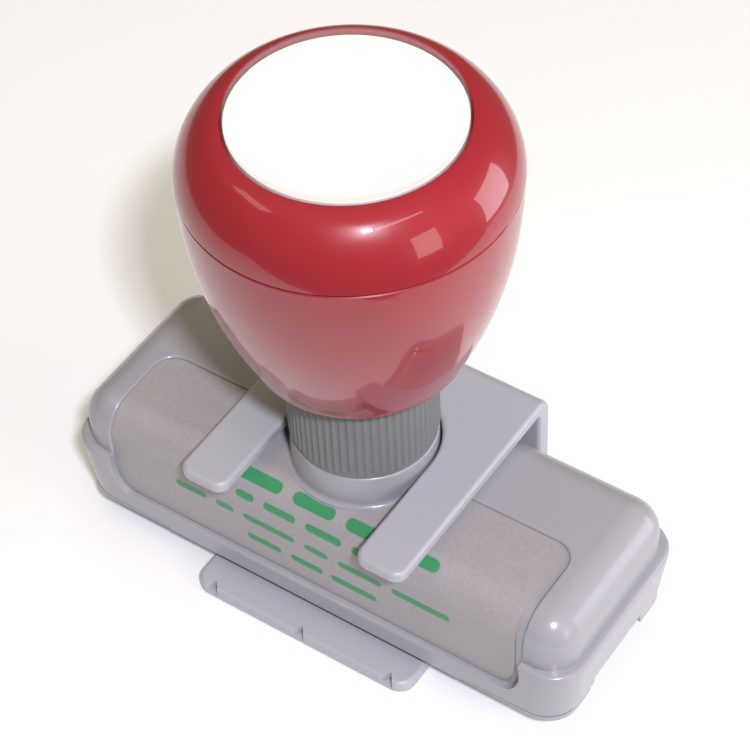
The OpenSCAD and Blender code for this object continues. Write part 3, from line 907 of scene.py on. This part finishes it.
@dataclass
class Housing:
    """Moulded shell: a loaf on a stepped skirt, with the neck that carries the ring.

    Attributes:
        half: Half length and half width of the loaf, as for the skirt's top and foot.
        relief: Where the cut-out in the skirt's foot starts from the middle, half its width, and its height.
        wedge: Where the wedge over the feet starts from the middle, and its height there and at the end.
        groove: Radius of the groove in the tube, and its lower and upper level.
    """

    pocket: LabelPocket
    half: Pair = (36.2, 12.9)
    edge_r: float = 4.5
    top: float = 21.2
    recess_d: float = 0.45
    brim_r: float = 0.35
    brim_steps: int = 6
    skirt_half: Pair = (37.3, 14.0)
    skirt_foot: Pair = (36.1, 13.2)
    skirt_z: float = 4.1
    skirt_top: float = 13.8
    corner_r: float = 4.8
    lip_r: float = 0.7
    lip_steps: int = 5
    wall: float = 1.5
    relief: Triple = (34.3, 5.5, 2.4)
    wedge: Triple = (22.05, 0.4, 1.0)
    neck_r: float = 9.2
    neck_fillet: float = 0.6
    neck_root: float = 0.5
    neck_round: float = 0.3
    shoulder: float = 25.8
    tube_r: float = 7.8
    tube_top: float = 43.9
    tube_bore: float = 6.4
    bush_bore: float = 5.5
    bush_shelf: float = 26.15
    groove: Triple = (7.1, 42.2, 43.2)
    eased: float = 0.2
    eased_steps: int = 3

    def shell(self, name: str, inset: float, low: float) -> Object:
        """Model the housing's loaf down to a level, drawn in by an inset."""
        half = (self.half[0] - inset, self.half[1] - inset)
        return loaf(name, half, self.edge_r - inset, low, self.top - inset)

    def skirt(self) -> Object:
        """Model the skirt, drawn in at its foot, with a round upper lip.

        Returns:
            The skirt.
        """
        x, y = self.skirt_half
        obj = block("skirt", (-x, -y, self.skirt_z), (x, y, self.skirt_top))
        round_edges(obj, self.corner_r, ROUND_STEPS, lambda a, b: abs(a.z - b.z) > NEAR)
        pick(obj, Part.POINT, lambda p: p.z < self.skirt_z + NEAR)
        stretch(self.skirt_foot[0] / x, self.skirt_foot[1] / y)
        clear()
        round_edges(obj, self.lip_r, self.lip_steps, lambda a, b: min(a.z, b.z) > self.skirt_top - NEAR)
        return obj

    def end_gaps(self) -> list[Object]:
        """Model the cut-outs in the skirt's foot at its ends, and the wedges where the frame's feet show.

        Returns:
            The four tools, to be taken away.
        """
        x, y = self.skirt_half
        low = self.skirt_z - OVER
        start, width, height = self.relief
        inner, tip, rise = self.wedge
        gaps, wedges = [], []
        for side in (-1, 1):
            left, right = sorted((side * start, side * (x + OVER)))
            gaps.append(block("gap", (left, -width, low), (right, width, self.skirt_z + height)))
            left, right = sorted((side * inner, side * x))
            wedge = block("wedge", (left, -y - OVER, low), (right, y + OVER, self.skirt_z + rise))
            pick(wedge, Part.POINT, lambda p: p.z > self.skirt_z and abs(p.x) < inner + NEAR)
            bpy.ops.transform.translate(value=(0, 0, (tip - rise) * MM))
            clear()
            wedges.append(wedge)
        return [*gaps, *wedges]

    def neck(self) -> Object:
        """Turn the neck and its tube, with the fillet at the neck's foot.

        Returns:
            The solid neck.
        """
        floor = self.top - self.recess_d
        foot_r = self.neck_r + self.neck_fillet
        in_r, low, high = self.groove
        r = self.neck_round
        profile = [
            (0.0, floor - self.neck_root),
            (foot_r, floor - self.neck_root),
            *arc((foot_r, floor + self.neck_fillet), self.neck_fillet, 270, 180, steps=6),
            *arc((self.neck_r - r, self.shoulder - r), r, 0, 90, steps=4),
            (self.tube_r, self.shoulder),
            (self.tube_r, low),
            (in_r, low),
            (in_r, high),
            (self.tube_r, high),
            (self.tube_r, self.tube_top - r),
            (self.tube_r - r, self.tube_top),
            (0.0, self.tube_top),
        ]
        return lathe("neck", profile)

    def bore(self) -> Object:
        """Turn what the bush and the stem take out of the neck.

        Returns:
            The tool.
        """
        low, high = self.top - DEEP, self.tube_top + OVER
        profile = [
            (0.0, low),
            (self.bush_bore, low),
            (self.bush_bore, self.bush_shelf),
            (self.tube_bore, self.bush_shelf),
            (self.tube_bore, high),
            (0.0, high),
        ]
        return lathe("bore", profile)

    def recess(self) -> Object:
        """Model what the label's recess takes away.

        Returns:
            The tool.
        """
        obj = self.pocket.column()
        combine(obj, self.shell("floor", self.recess_d, self.skirt_z - OVER), Cut.TAKE)
        return obj

    def on_brim(self, place: Vector) -> bool:
        """Tell whether a point lies on the recess's upper edge.

        Args:
            place: A point of the loaf in millimetres.

        Returns:
            True for a point on the loaf's skin that is also on the recess's outline.
        """
        bend = Vector((self.edge_r - self.half[1] - place.y, place.z - self.top + self.edge_r))
        skin = bend.length if min(bend) > 0 else max(bend)
        r = self.pocket.top_r
        corner = Vector((abs(place.x) - self.pocket.half_l + r, place.y + r))
        outline = corner.length if min(corner) > 0 else max(corner)
        return abs(skin - self.edge_r) < NEAR and abs(outline - r) < NEAR

    def build(self) -> Object:
        """Model the housing. The recess is taken again from the skirt once the brim is round.

        Returns:
            The finished shell.
        """
        obj = self.shell("housing_shell", 0.0, (self.skirt_z + self.skirt_top) / 2)
        combine(obj, self.recess(), Cut.TAKE)
        tidy_faces(obj)
        round_edges(obj, self.brim_r, self.brim_steps, lambda a, b: self.on_brim(a) and self.on_brim(b))
        combine(obj, self.skirt(), Cut.ADD)
        combine(obj, self.recess(), Cut.TAKE)
        combine(obj, self.shell("cavity", self.wall, self.skirt_z - OVER), Cut.TAKE)
        for tool in self.end_gaps():
            combine(obj, tool, Cut.TAKE)
        draft = (self.skirt_half[1] - self.skirt_foot[1]) / (self.skirt_top - self.skirt_z)
        face_y = -self.skirt_foot[1] - draft * (self.pocket.foot_z - self.skirt_z)
        combine(obj, self.pocket.flare(face_y, draft), Cut.TAKE)
        combine(obj, self.neck(), Cut.ADD)
        combine(obj, self.bore(), Cut.TAKE)
        tidy_faces(obj)
        ease(obj, self.eased, self.eased_steps)
        return dress(obj, HOUSING_GREY, Body.BASE, "housing")


@dataclass
class LabelFilm:
    """Thin printed film that lies in the housing's recess."""

    housing: Housing
    inset_out: float = 0.28
    inset_in: float = 0.42
    margin: float = 0.575
    back_margin: float = 0.1
    foot_margin: float = 0.2
    shift: float = -0.525
    hole_r: float = 10.0

    def unwrap(self, obj: Object) -> None:
        """Lay a map over the film, in millimetres along its length and round its bend.

        Args:
            obj: The film.
        """
        radius = self.housing.edge_r - self.inset_out
        bend_y = self.housing.edge_r - self.housing.half[1]
        bend_z = self.housing.top - self.housing.edge_r
        layer = obj.data.uv_layers.new(name=WRAP)
        for corner in obj.data.loops:
            place = obj.data.vertices[corner.vertex_index].co / MM
            if place.y > bend_y:
                along = place.y
            elif place.z > bend_z:
                along = bend_y - radius * math.atan2(bend_y - place.y, place.z - bend_z)
            else:
                along = bend_y - radius * math.pi / 2 - (bend_z - place.z)
            layer.data[corner.index].uv = (place.x, along)

    def build(self) -> Object:
        """Model the film.

        Returns:
            The finished film.
        """
        pocket = self.housing.pocket
        foot = pocket.foot_z - DEEP
        obj = self.housing.shell("label_sheet", self.inset_out, foot)
        hold(pocket.column(self.margin, self.back_margin, self.foot_margin))
        bpy.ops.transform.translate(value=(self.shift * MM, 0, 0))
        combine(obj, settle("label_cut"), Cut.KEEP)
        combine(obj, self.housing.shell("label_core", self.inset_in, foot - OVER), Cut.TAKE)
        low, high = self.housing.top - DEEP, self.housing.top + OVER
        hole = lathe("hole", [(0.0, low), (self.hole_r, low), (self.hole_r, high), (0.0, high)])
        combine(obj, hole, Cut.TAKE)
        tidy_faces(obj)
        self.unwrap(obj)
        return dress(obj, FILM_GREY, Body.BASE, "label_film")


@dataclass
class StorageClip:
    """U-shaped clip: a fork round the neck, a back wall and a bottom plate."""

    half_w: float = 16.2
    front: float = -16.8
    back: float = 16.9
    wall: float = 2.4
    plate_t: float = 2.0
    prong_z: float = 22.3
    top: float = 24.1
    slot_r: float = 9.45
    slot_steps: int = 48
    plate_r: float = 2.2
    prong_r: float = 1.7
    corner_steps: int = 8
    bend_r: float = 2.2
    bend_steps: int = 10
    round_r: float = 0.55
    round_steps: int = 5
    nick_pitch: float = 13.3
    nick_half: float = 1.6
    nick_d: float = 1.3

    def at_front(self, a: Vector, b: Vector) -> bool:
        """Tell whether an edge is an upright corner at the front."""
        return abs(a.z - b.z) > self.plate_t / 2 and max(a.y, b.y) < self.front + NEAR

    def at_bend(self, a: Vector, b: Vector) -> bool:
        """Tell whether an edge runs along the outside of a bend at the back."""
        outer = max(a.z, b.z) < NEAR or min(a.z, b.z) > self.top - NEAR
        return outer and abs(a.x - b.x) > self.half_w and min(a.y, b.y) > self.back - NEAR

    def blank(self) -> Object:
        """Model the clip from its plate, by extruding the wall and then the fork.

        Returns:
            The clip without its slot and rounds.
        """
        w, inner = self.half_w, self.back - self.wall
        obj = block("clip_moulding", (-w, self.front, 0), (w, self.back, self.plate_t))
        open_mesh(obj, chosen=True)
        bpy.ops.mesh.bisect(plane_co=(0, inner * MM, 0), plane_no=(0, 1, 0))
        pick(obj, Part.FACE, lambda c, n: n.z > FACING and c.y > inner)
        extrude(0, 0, self.prong_z - self.plate_t)
        extrude(0, 0, self.top - self.prong_z)
        pick(obj, Part.FACE, lambda c, n: n.y < -FACING and c.z > self.prong_z)
        extrude(0, self.front - inner, 0)
        weld(obj)
        return obj

    def build(self) -> Object:
        """Cut the slot, round the edges and nick the plate.

        Returns:
            The finished clip.
        """
        obj = self.blank()
        r, far = self.slot_r, self.front - DEEP
        outline = [(-r, far), (r, far), *arc((0, 0), r, 0, 180, self.slot_steps)]
        combine(obj, slab("slot", outline, self.prong_z - OVER, self.top + OVER), Cut.TAKE)
        tidy_faces(obj)
        mid = self.top / 2
        steps = self.corner_steps
        round_edges(obj, self.prong_r, steps, lambda a, b: self.at_front(a, b) and a.z > mid)
        round_edges(obj, self.plate_r, steps, lambda a, b: self.at_front(a, b) and a.z < mid)
        round_edges(obj, self.bend_r, self.bend_steps, self.at_bend)
        ease(obj, self.round_r, self.round_steps)
        before, tip = self.front - OVER, self.front + self.nick_d
        for x in (-self.nick_pitch, 0, self.nick_pitch):
            nick = [(x - self.nick_half, before), (x + self.nick_half, before), (x, tip)]
            combine(obj, slab("nick", nick, self.plate_t - self.nick_d, self.plate_t + OVER), Cut.TAKE)
        return dress(obj, CLIP_GREY, Body.CLIP, "storage_clip")


@dataclass
class AdjustingRing:
    """Ribbed collar that turns on the neck's tube."""

    radius: float = 9.3
    rib_d: float = 0.2
    ribs: int = 60
    low: float = 25.9
    high: float = 42.2
    band_h: float = 0.7
    run_in: float = 0.2
    crown_h: float = 0.3
    crown_in: float = 0.25
    dish: float = 0.05
    bore: float = 7.85

    # How far each point of one rib and its groove stands out
    LEVELS = (1.0, 1.0, 0.85, 0.15, 0.0, 0.0, 0.15, 0.85)

    def swell(self, obj: Object, level: float, grow: bool) -> None:
        """Push the ribs' points out from a loop's groove radius, or draw them back in.

        Args:
            obj: The ring.
            level: Height of the loop in millimetres.
            grow: Whether the ribs grow or shrink.
        """
        groove = self.radius - self.rib_d
        count = len(self.LEVELS)
        for share in sorted(set(self.LEVELS) - {0.0}):
            slots = [i for i, value in enumerate(self.LEVELS) if value == share]
            pick(
                obj,
                Part.POINT,
                lambda p: abs(p.z - level) < NEAR
                and round(math.atan2(p.y, p.x) / TURN * self.ribs * count) % count in slots,
            )
            scale = (groove + share * self.rib_d) / groove
            scale = scale if grow else 1 / scale
            stretch(scale, scale)

    def build(self) -> Object:
        """Model the ring as one loop, drawn up, in and down again.

        Returns:
            The finished ring.
        """
        groove = self.radius - self.rib_d
        clear()
        bpy.ops.mesh.primitive_circle_add(
            vertices=self.ribs * len(self.LEVELS),
            radius=groove * MM,
            location=(0, 0, self.low * MM),
        )
        obj = settle("ring_collar")
        start = self.low + self.band_h
        ribbed = start + self.run_in
        levels = [self.low, start, ribbed, self.high - self.crown_h, self.high]
        for lower, upper in zip(levels, levels[1:]):
            pick(obj, Part.POINT, lambda p: abs(p.z - lower) < NEAR)
            extrude(0, 0, upper - lower)
            if upper == ribbed:
                self.swell(obj, upper, True)
        pick(obj, Part.POINT, lambda p: abs(p.z - self.high) < NEAR)
        crown = 1 - self.crown_in / self.radius
        stretch(crown, crown)
        pick(obj, Part.POINT, lambda p: abs(p.z - self.high) < NEAR)
        extrude(0, 0, -self.dish)
        shrink = self.bore / (groove * crown)
        stretch(shrink, shrink)
        dished = self.high - self.dish
        self.swell(obj, dished, False)
        pick(obj, Part.POINT, lambda p: abs(p.z - dished) < NEAR)
        extrude(0, 0, self.low - dished)
        pick(obj, Part.EDGE, lambda a, b: max(a.z, b.z) < self.low + NEAR)
        bpy.ops.mesh.bridge_edge_loops()
        weld(obj)
        return dress(obj, RING_GREY, Body.RING, "adjusting_ring")


@dataclass
class Knob:
    """Two-part knob with its white index disc under a clear cover.

    Attributes:
        swell: How far the bowl's side bows out from a straight line.
        hub: Levels of the hub's lower end, the step in its bore and its upper end.
    """

    radius: float = 19.5
    seam_r: float = 19.4
    parting: float = 67.9
    rim_r: float = 12.9
    rim_z: float = 41.1
    swell: float = 1.65
    rim_round: float = 0.8
    shoulder_r: float = 9.3
    crown_r: float = 3.9
    crown_start: float = 50.0
    wall: float = 2.0
    mouth_r: float = 9.8
    mouth_top: float = 46.6
    mouth_round: float = 0.4
    hub_r: float = 5.9
    hub: Triple = (45.3, 49.5, 51.9)
    spigot_r: float = 3.15
    screw_r: float = 1.5
    plug_d: float = 3.4
    plug_gap: float = 0.1
    plug_wall: float = 1.4
    plug_round: float = 1.0
    lip: float = 0.2
    lip_knee: Pair = (0.06, 0.04)
    disc_r: float = 13.6
    disc_gap: float = 0.1
    disc_t: float = 0.5
    disc_edge: float = 0.08
    cover_t: float = 1.5
    cover_proud: float = 1.0
    cover_skin: float = 0.2
    cover_edge: float = 0.15
    cover_gap: float = 0.02
    seam_round: float = 0.12
    seam_gap: float = 0.26
    skin_steps: int = 36
    inner_steps: int = 12

    def side(self) -> tuple[Pair, float]:
        """Work out the arc of the bowl's side.

        Returns:
            Its centre and its radius in millimetres.
        """
        span = Vector((self.seam_r - self.rim_r, self.parting - self.rim_z))
        radius = ((span.length / 2) ** 2 + self.swell ** 2) / (2 * self.swell)
        out = Vector((span.y, -span.x)).normalized()
        middle = Vector((self.rim_r, self.rim_z)) + span / 2
        centre = middle - (radius - self.swell) * out
        return (centre.x, centre.y), radius

    def side_at(self, z: float, inset: float = 0.0) -> float:
        """Radius of the bowl's side at a height, drawn in by an inset."""
        centre, radius = self.side()
        return centre[0] + math.sqrt((radius - inset) ** 2 - (z - centre[1]) ** 2)

    def bowl(self) -> Object:
        """Turn the knob's lower half.

        Returns:
            The finished bowl.
        """
        low = self.rim_z + self.rim_round
        floor = self.mouth_top + self.wall
        outside = spread(low, self.parting - self.seam_round, self.skin_steps)[1:]
        inside = spread(self.parting, floor, self.inner_steps)
        hub_low, hub_step, hub_top = self.hub
        r = self.mouth_round
        profile = [
            *arc((self.side_at(low) - self.rim_round, low), self.rim_round, 270, 360, steps=8),
            *((self.side_at(z), z) for z in outside),
            (self.seam_r - self.seam_round, self.parting),
            *((self.side_at(z, self.wall), z) for z in inside),
            (self.hub_r, floor),
            (self.hub_r, hub_top),
            (self.screw_r, hub_top),
            (self.screw_r, hub_step),
            (self.spigot_r, hub_step),
            (self.spigot_r, hub_low),
            (self.hub_r, hub_low),
            (self.hub_r, self.mouth_top),
            (self.mouth_r, self.mouth_top),
            *arc((self.mouth_r + r, self.rim_z + r), r, 180, 270, steps=4),
        ]
        return dress(lathe("knob_lower", profile), KNOB_RED, Body.PLUNGER, "knob_bowl")

    def crown(self) -> Pair:
        """Place the tighter round that carries the shoulder on to the lip.

        Returns:
            Its centre in millimetres.
        """
        way = math.radians(self.crown_start)
        run = self.shoulder_r - self.crown_r
        x = self.radius - self.shoulder_r + run * math.cos(way)
        return x, self.parting + run * math.sin(way)

    def cap_top(self) -> float:
        """Level of the cap's upper lip in millimetres."""
        return self.crown()[1] + self.crown_r

    def disc_floor(self) -> float:
        """Level of the recess's floor under the disc, in millimetres."""
        return self.cap_top() + self.cover_proud - self.cover_t - self.disc_t

    def cap(self) -> Object:
        """Turn the knob's upper half, with the recess for its disc.

        Returns:
            The finished cap.
        """
        recess = self.disc_r + self.disc_gap
        top, floor = self.cap_top(), self.disc_floor()
        middle = self.crown()
        shoulder = (self.radius - self.shoulder_r, self.parting)
        start = math.degrees(math.asin((self.seam_gap + self.seam_round) / self.shoulder_r))
        end = math.degrees(math.acos((recess + self.lip - middle[0]) / self.crown_r))
        low = self.parting + self.seam_gap
        foot = (self.radius - self.seam_round, low)
        plug_z = self.parting - self.plug_d
        plug = self.side_at(plug_z, self.wall) - self.plug_gap
        hollow = plug - self.plug_wall
        under = floor - self.wall
        r = self.plug_round
        profile = [
            foot,
            *arc(shoulder, self.shoulder_r, start, self.crown_start, steps=24),
            *arc(middle, self.crown_r, self.crown_start, end, steps=14)[1:],
            (recess + self.lip_knee[0], top - self.lip_knee[1]),
            (recess, top - self.lip),
            (recess, floor),
            (0.0, floor),
            (0.0, under),
            *arc((hollow - r, under - r), r, 90, 0, steps=6),
            (hollow, plug_z),
            (plug, plug_z),
            (plug, low),
            foot,
        ]
        return dress(lathe("knob_upper", profile), KNOB_RED, Body.PLUNGER, "knob_cap")

    def disc(self) -> Object:
        """Turn the white disc, which lies level with the cap's lip.

        Returns:
            The finished disc.
        """
        low, high = self.disc_floor(), self.cap_top()
        r = self.disc_r - self.cover_skin - self.cover_gap
        edge = self.disc_edge
        profile = [(0.0, low), (r, low), (r, high - edge), (r - edge, high), (0.0, high)]
        return dress(lathe("disc_card", profile), CARD_WHITE, Body.PLUNGER, "index_disc")

    def cover(self) -> Object:
        """Turn the clear cover, a thin cup over the disc.

        Returns:
            The finished cover.
        """
        high = self.cap_top() + self.cover_proud
        low = high - self.cover_t
        r, skin, edge = self.disc_r, self.cover_skin, self.cover_edge
        profile = [
            (r - skin, low),
            (r, low),
            *arc((r - edge, high - edge), edge, 0, 90, steps=6),
            (0.0, high),
            (0.0, high - skin),
            (r - skin, high - skin),
            (r - skin, low),
        ]
        obj = lathe("cover_lens", profile[::-1])
        return dress(obj, COVER_CLEAR, Body.PLUNGER, "index_cover")

    def build(self) -> list[Object]:
        """Model the knob's four pieces."""
        return [self.bowl(), self.cap(), self.disc(), self.cover()]


@dataclass
class Works:
    """What moves and seals inside the housing, and the frame under it.

    Attributes:
        spring: Levels of the spring's ends.
        pad: Half length, half width and thickness of the felt.
    """

    spring_r: float = 5.2
    wire_d: float = 1.0
    wire_sides: int = 16
    spring: Pair = (27.2, 44.45)
    turns: int = 7
    turn_steps: int = 40
    stroke: float = 2.5
    pad: Triple = (31.7, 8.4, 3.0)
    pad_z: float = 9.4
    pad_play: float = 0.02
    pad_round: float = 0.6
    pad_steps: int = 4

    # Solids that are copied with softer edges: solid, piece, radius in millimetres, finish, body and slot
    SOFTENED = (
        ("bottom_frame", "frame_feet", 0.15, HOUSING_GREY, Body.BASE, "housing_grey"),
        ("printing_die", "die_face", 0.12, DIE_RUBBER, Body.PLUNGER, "die_rubber"),
        ("die_retainer", "die_frame", 0.12, RETAINER_GREY, Body.PLUNGER, "retainer_plastic"),
        ("die_carrier", "carrier_block", 0.12, STEM_BLACK, Body.PLUNGER, "stem_plastic"),
    )
    # Solids that stay as they are, by finish
    KEPT = (
        (BUSH_CREAM, ("guide_bush",)),
        (STEM_BLACK, ("handle_stem",)),
        (SPRING_STEEL, ("ring_retainer", "spring_washer", "stem_screw", "screw_washer", "carrier_screw")),
    )

    def coil(self) -> Object:
        """Wind the return spring, which shortens as the knob is pressed.

        Returns:
            The finished spring.
        """
        low, high = self.spring
        rise = (high - low - self.wire_d) / self.turns
        clear()
        bpy.ops.mesh.primitive_circle_add(
            vertices=self.wire_sides,
            radius=self.wire_d / 2 * MM,
            location=(self.spring_r * MM, 0, (low + self.wire_d / 2) * MM),
            rotation=(math.pi / 2, 0, 0),
        )
        obj = settle("coil_spring")
        modify(
            obj,
            "SCREW",
            axis="Z",
            angle=TURN,
            screw_offset=rise * MM,
            iterations=self.turns,
            steps=self.turn_steps,
            render_steps=self.turn_steps,
        )
        open_mesh(obj, Part.EDGE)
        bpy.ops.mesh.select_non_manifold()
        bpy.ops.mesh.edge_face_add()
        weld(obj)
        dress(obj, SPRING_STEEL, Body.BASE, "return_spring")
        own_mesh(obj)
        return obj

    def felt(self) -> Object:
        """Model the felt ink pad as a block with round edges.

        Returns:
            The finished pad.
        """
        x, y, t = self.pad
        low, high = self.pad_z + self.pad_play, self.pad_z + t - self.pad_play
        obj = block("felt_pad", (-x, -y, low), (x, y, high))
        round_edges(obj, self.pad_round, self.pad_steps, lambda a, b: True)
        dress(obj, PAD_FELT, Body.PLUNGER, "ink_pad")
        return obj

    def build(self) -> list[Object]:
        """Model the inside pieces that show from below, and finish the solids that stay.

        Returns:
            The new pieces.
        """
        pieces = [
            dress(soften(node, name, radius), finish, body, node)
            for node, name, radius, finish, body, slot in self.SOFTENED
        ]
        for finish, nodes in self.KEPT:
            for node in nodes:
                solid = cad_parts[node]
                solid.data.materials.clear()
                solid.data.materials.append(finish.material())
                LOG.info("%s: finished as %s", node, finish.name)
        return [*pieces, self.coil(), self.felt()]


# Light, floor and camera


def outward(azimuth: float, elevation: float) -> Vector:
    """Way from the stamp out to a lamp or the camera, from degrees round to the right and up."""
    az, el = math.radians(azimuth), math.radians(elevation)
    return Vector((math.sin(az) * math.cos(el), -math.cos(az) * math.cos(el), math.sin(el)))


@dataclass
class Lamp:
    """A soft lamp.

    Attributes:
        name: The lamp's name.
        azimuth: Degrees round from the front to the right.
        elevation: Degrees up from level.
        size: Width and height in metres.
        power: In watts.
        colour: sRGB colour.
        mirrored: Whether glossy surfaces show it.
    """

    name: str
    azimuth: float
    elevation: float
    size: Pair
    power: float
    colour: str
    mirrored: bool = True

    AIM = (0.0, 0.0, 0.05)
    REACH = 0.6

    def build(self) -> Object:
        """Hang the lamp on its side of the stamp, facing it.

        Returns:
            The lamp.
        """
        way = outward(self.azimuth, self.elevation)
        clear()
        bpy.ops.object.light_add(type="AREA", location=Vector(self.AIM) + way * self.REACH)
        obj = bpy.context.object
        obj.name = obj.data.name = self.name
        obj.data.shape = "RECTANGLE"
        obj.data.size, obj.data.size_y = self.size
        obj.data.energy = self.power
        obj.data.color = linear(self.colour)[:3]
        obj.visible_glossy = self.mirrored
        obj.rotation_euler = (-way).to_track_quat("-Z", "Y").to_euler()
        return obj


LAMPS = (
    Lamp("key_lamp", 47, 50, (0.05, 0.035), 3.8, "#f2f2ff"),
    Lamp("ceiling", -120, 80, (0.5, 0.5), 1.3, "#fff0c4", mirrored=False),
    Lamp("side_fill", 95, 22, (0.4, 0.3), 1.1, "#fff6ea", mirrored=False),
    Lamp("tube_lamp", 74, 51, (0.28, 0.03), 0.14, "#fff0e4"),
    Lamp("right_window", 80, 12, (0.17, 0.30), 0.5, "#fffaf4"),
    Lamp("back_window", 132, 3, (0.27, 0.355), 1.3, "#f8f8ff"),
    Lamp("left_window", -58, 53, (0.26, 0.1), 0.2, "#ffe6d0"),
)


@dataclass
class Studio:
    """Camera, floor and light. The floor's sheet is in metres, and angles are in degrees.

    Attributes:
        sheet_at: The sheet's middle before it is turned about the stamp.
        glow: Strength of the sheet's own light.
        air: sRGB colour of the light from all round.
        backdrop: sRGB colour that the camera sees past the sheet.
    """

    eye: Triple = (124.135, -167.967, 265.717)
    azimuth: float = 36.028
    elevation: float = 47.949
    roll: float = -3.087
    lens: float = 125.413
    sensor: float = 36.0
    sheet: Pair = (0.5, 0.5)
    sheet_at: Triple = (-0.05, 0.17, 0.0)
    sheet_turn: float = 52.0
    glow: float = 0.17
    glow_colour: str = "#eef2ff"
    air: str = "#ffefc8"
    air_strength: float = 0.12
    backdrop: str = "#f6f5f3"

    def camera(self) -> None:
        """Set the camera up at the chosen angle."""
        back = outward(self.azimuth, self.elevation)
        az, roll = math.radians(self.azimuth), math.radians(self.roll)
        right = Vector((math.cos(az), math.sin(az), 0))
        up = back.cross(right)
        across = math.cos(roll) * right + math.sin(roll) * up
        upright = -math.sin(roll) * right + math.cos(roll) * up
        clear()
        bpy.ops.object.camera_add()
        obj = bpy.context.object
        obj.name = "camera"
        obj.data.lens = self.lens
        obj.data.sensor_width = self.sensor
        obj.data.clip_start = 0.01
        turn = Matrix((across, upright, back)).transposed().to_4x4()
        obj.matrix_world = Matrix.Translation(Vector(self.eye) * MM) @ turn
        bpy.context.scene.camera = obj

    def floor(self) -> None:
        """Lay the pale floor, a sheet that ends a little in front of the stamp."""
        clear()
        bpy.ops.mesh.primitive_grid_add(x_subdivisions=8, y_subdivisions=8, size=1, location=self.sheet_at)
        bpy.context.object.scale = (*self.sheet, 1)
        settle("floor")
        # Without a window this operator turns the other way
        turn = -math.radians(self.sheet_turn)
        bpy.ops.transform.rotate(value=turn, orient_axis="Z", center_override=(0, 0, 0))
        obj = settle("floor")
        paper = SHEET_WHITE.material()
        shader = paper.node_tree.nodes["Principled BSDF"]
        shader.inputs["Emission Color"].default_value = linear(self.glow_colour)
        shader.inputs["Emission Strength"].default_value = self.glow
        paper.cycles.emission_sampling = "NONE"
        obj.data.materials.append(paper)

    def world(self) -> None:
        """Give the stamp a little light from all round, and the camera a pale backdrop."""
        bpy.context.scene.view_settings.view_transform = "Standard"
        world = bpy.data.worlds.new("studio")
        world.use_nodes = True
        tree = world.node_tree
        air = tree.nodes["Background"]
        air.inputs["Color"].default_value = linear(self.air)
        air.inputs["Strength"].default_value = self.air_strength
        path = put(tree, "ShaderNodeLightPath")
        pale = put(tree, "ShaderNodeBackground", {"Color": linear(self.backdrop), "Strength": 1.0})
        fed = {0: path.outputs["Is Camera Ray"], 1: air.outputs[0], 2: pale.outputs[0]}
        blend = put(tree, "ShaderNodeMixShader", links=fed)
        tree.links.new(blend.outputs["Shader"], tree.nodes["World Output"].inputs["Surface"])
        bpy.context.scene.world = world

    def build(self) -> None:
        """Set up the camera, the floor, the world and the lamps."""
        self.camera()
        self.floor()
        self.world()
        for lamp in LAMPS:
            lamp.build()


def main() -> None:
    """Build the stamp's sub-assemblies in order, and the studio round them."""
    logging.basicConfig(level=logging.INFO, format="%(name)s: %(message)s")
    Studio().build()
    housing = Housing(LabelPocket())
    made = [
        housing.build(),
        LabelFilm(housing).build(),
        StorageClip().build(),
        AdjustingRing().build(),
        *Knob().build(),
        *Works().build(),
    ]
    LOG.info("%d pieces made", len(made))
    clear()


if __name__ == "__main__":
    main()
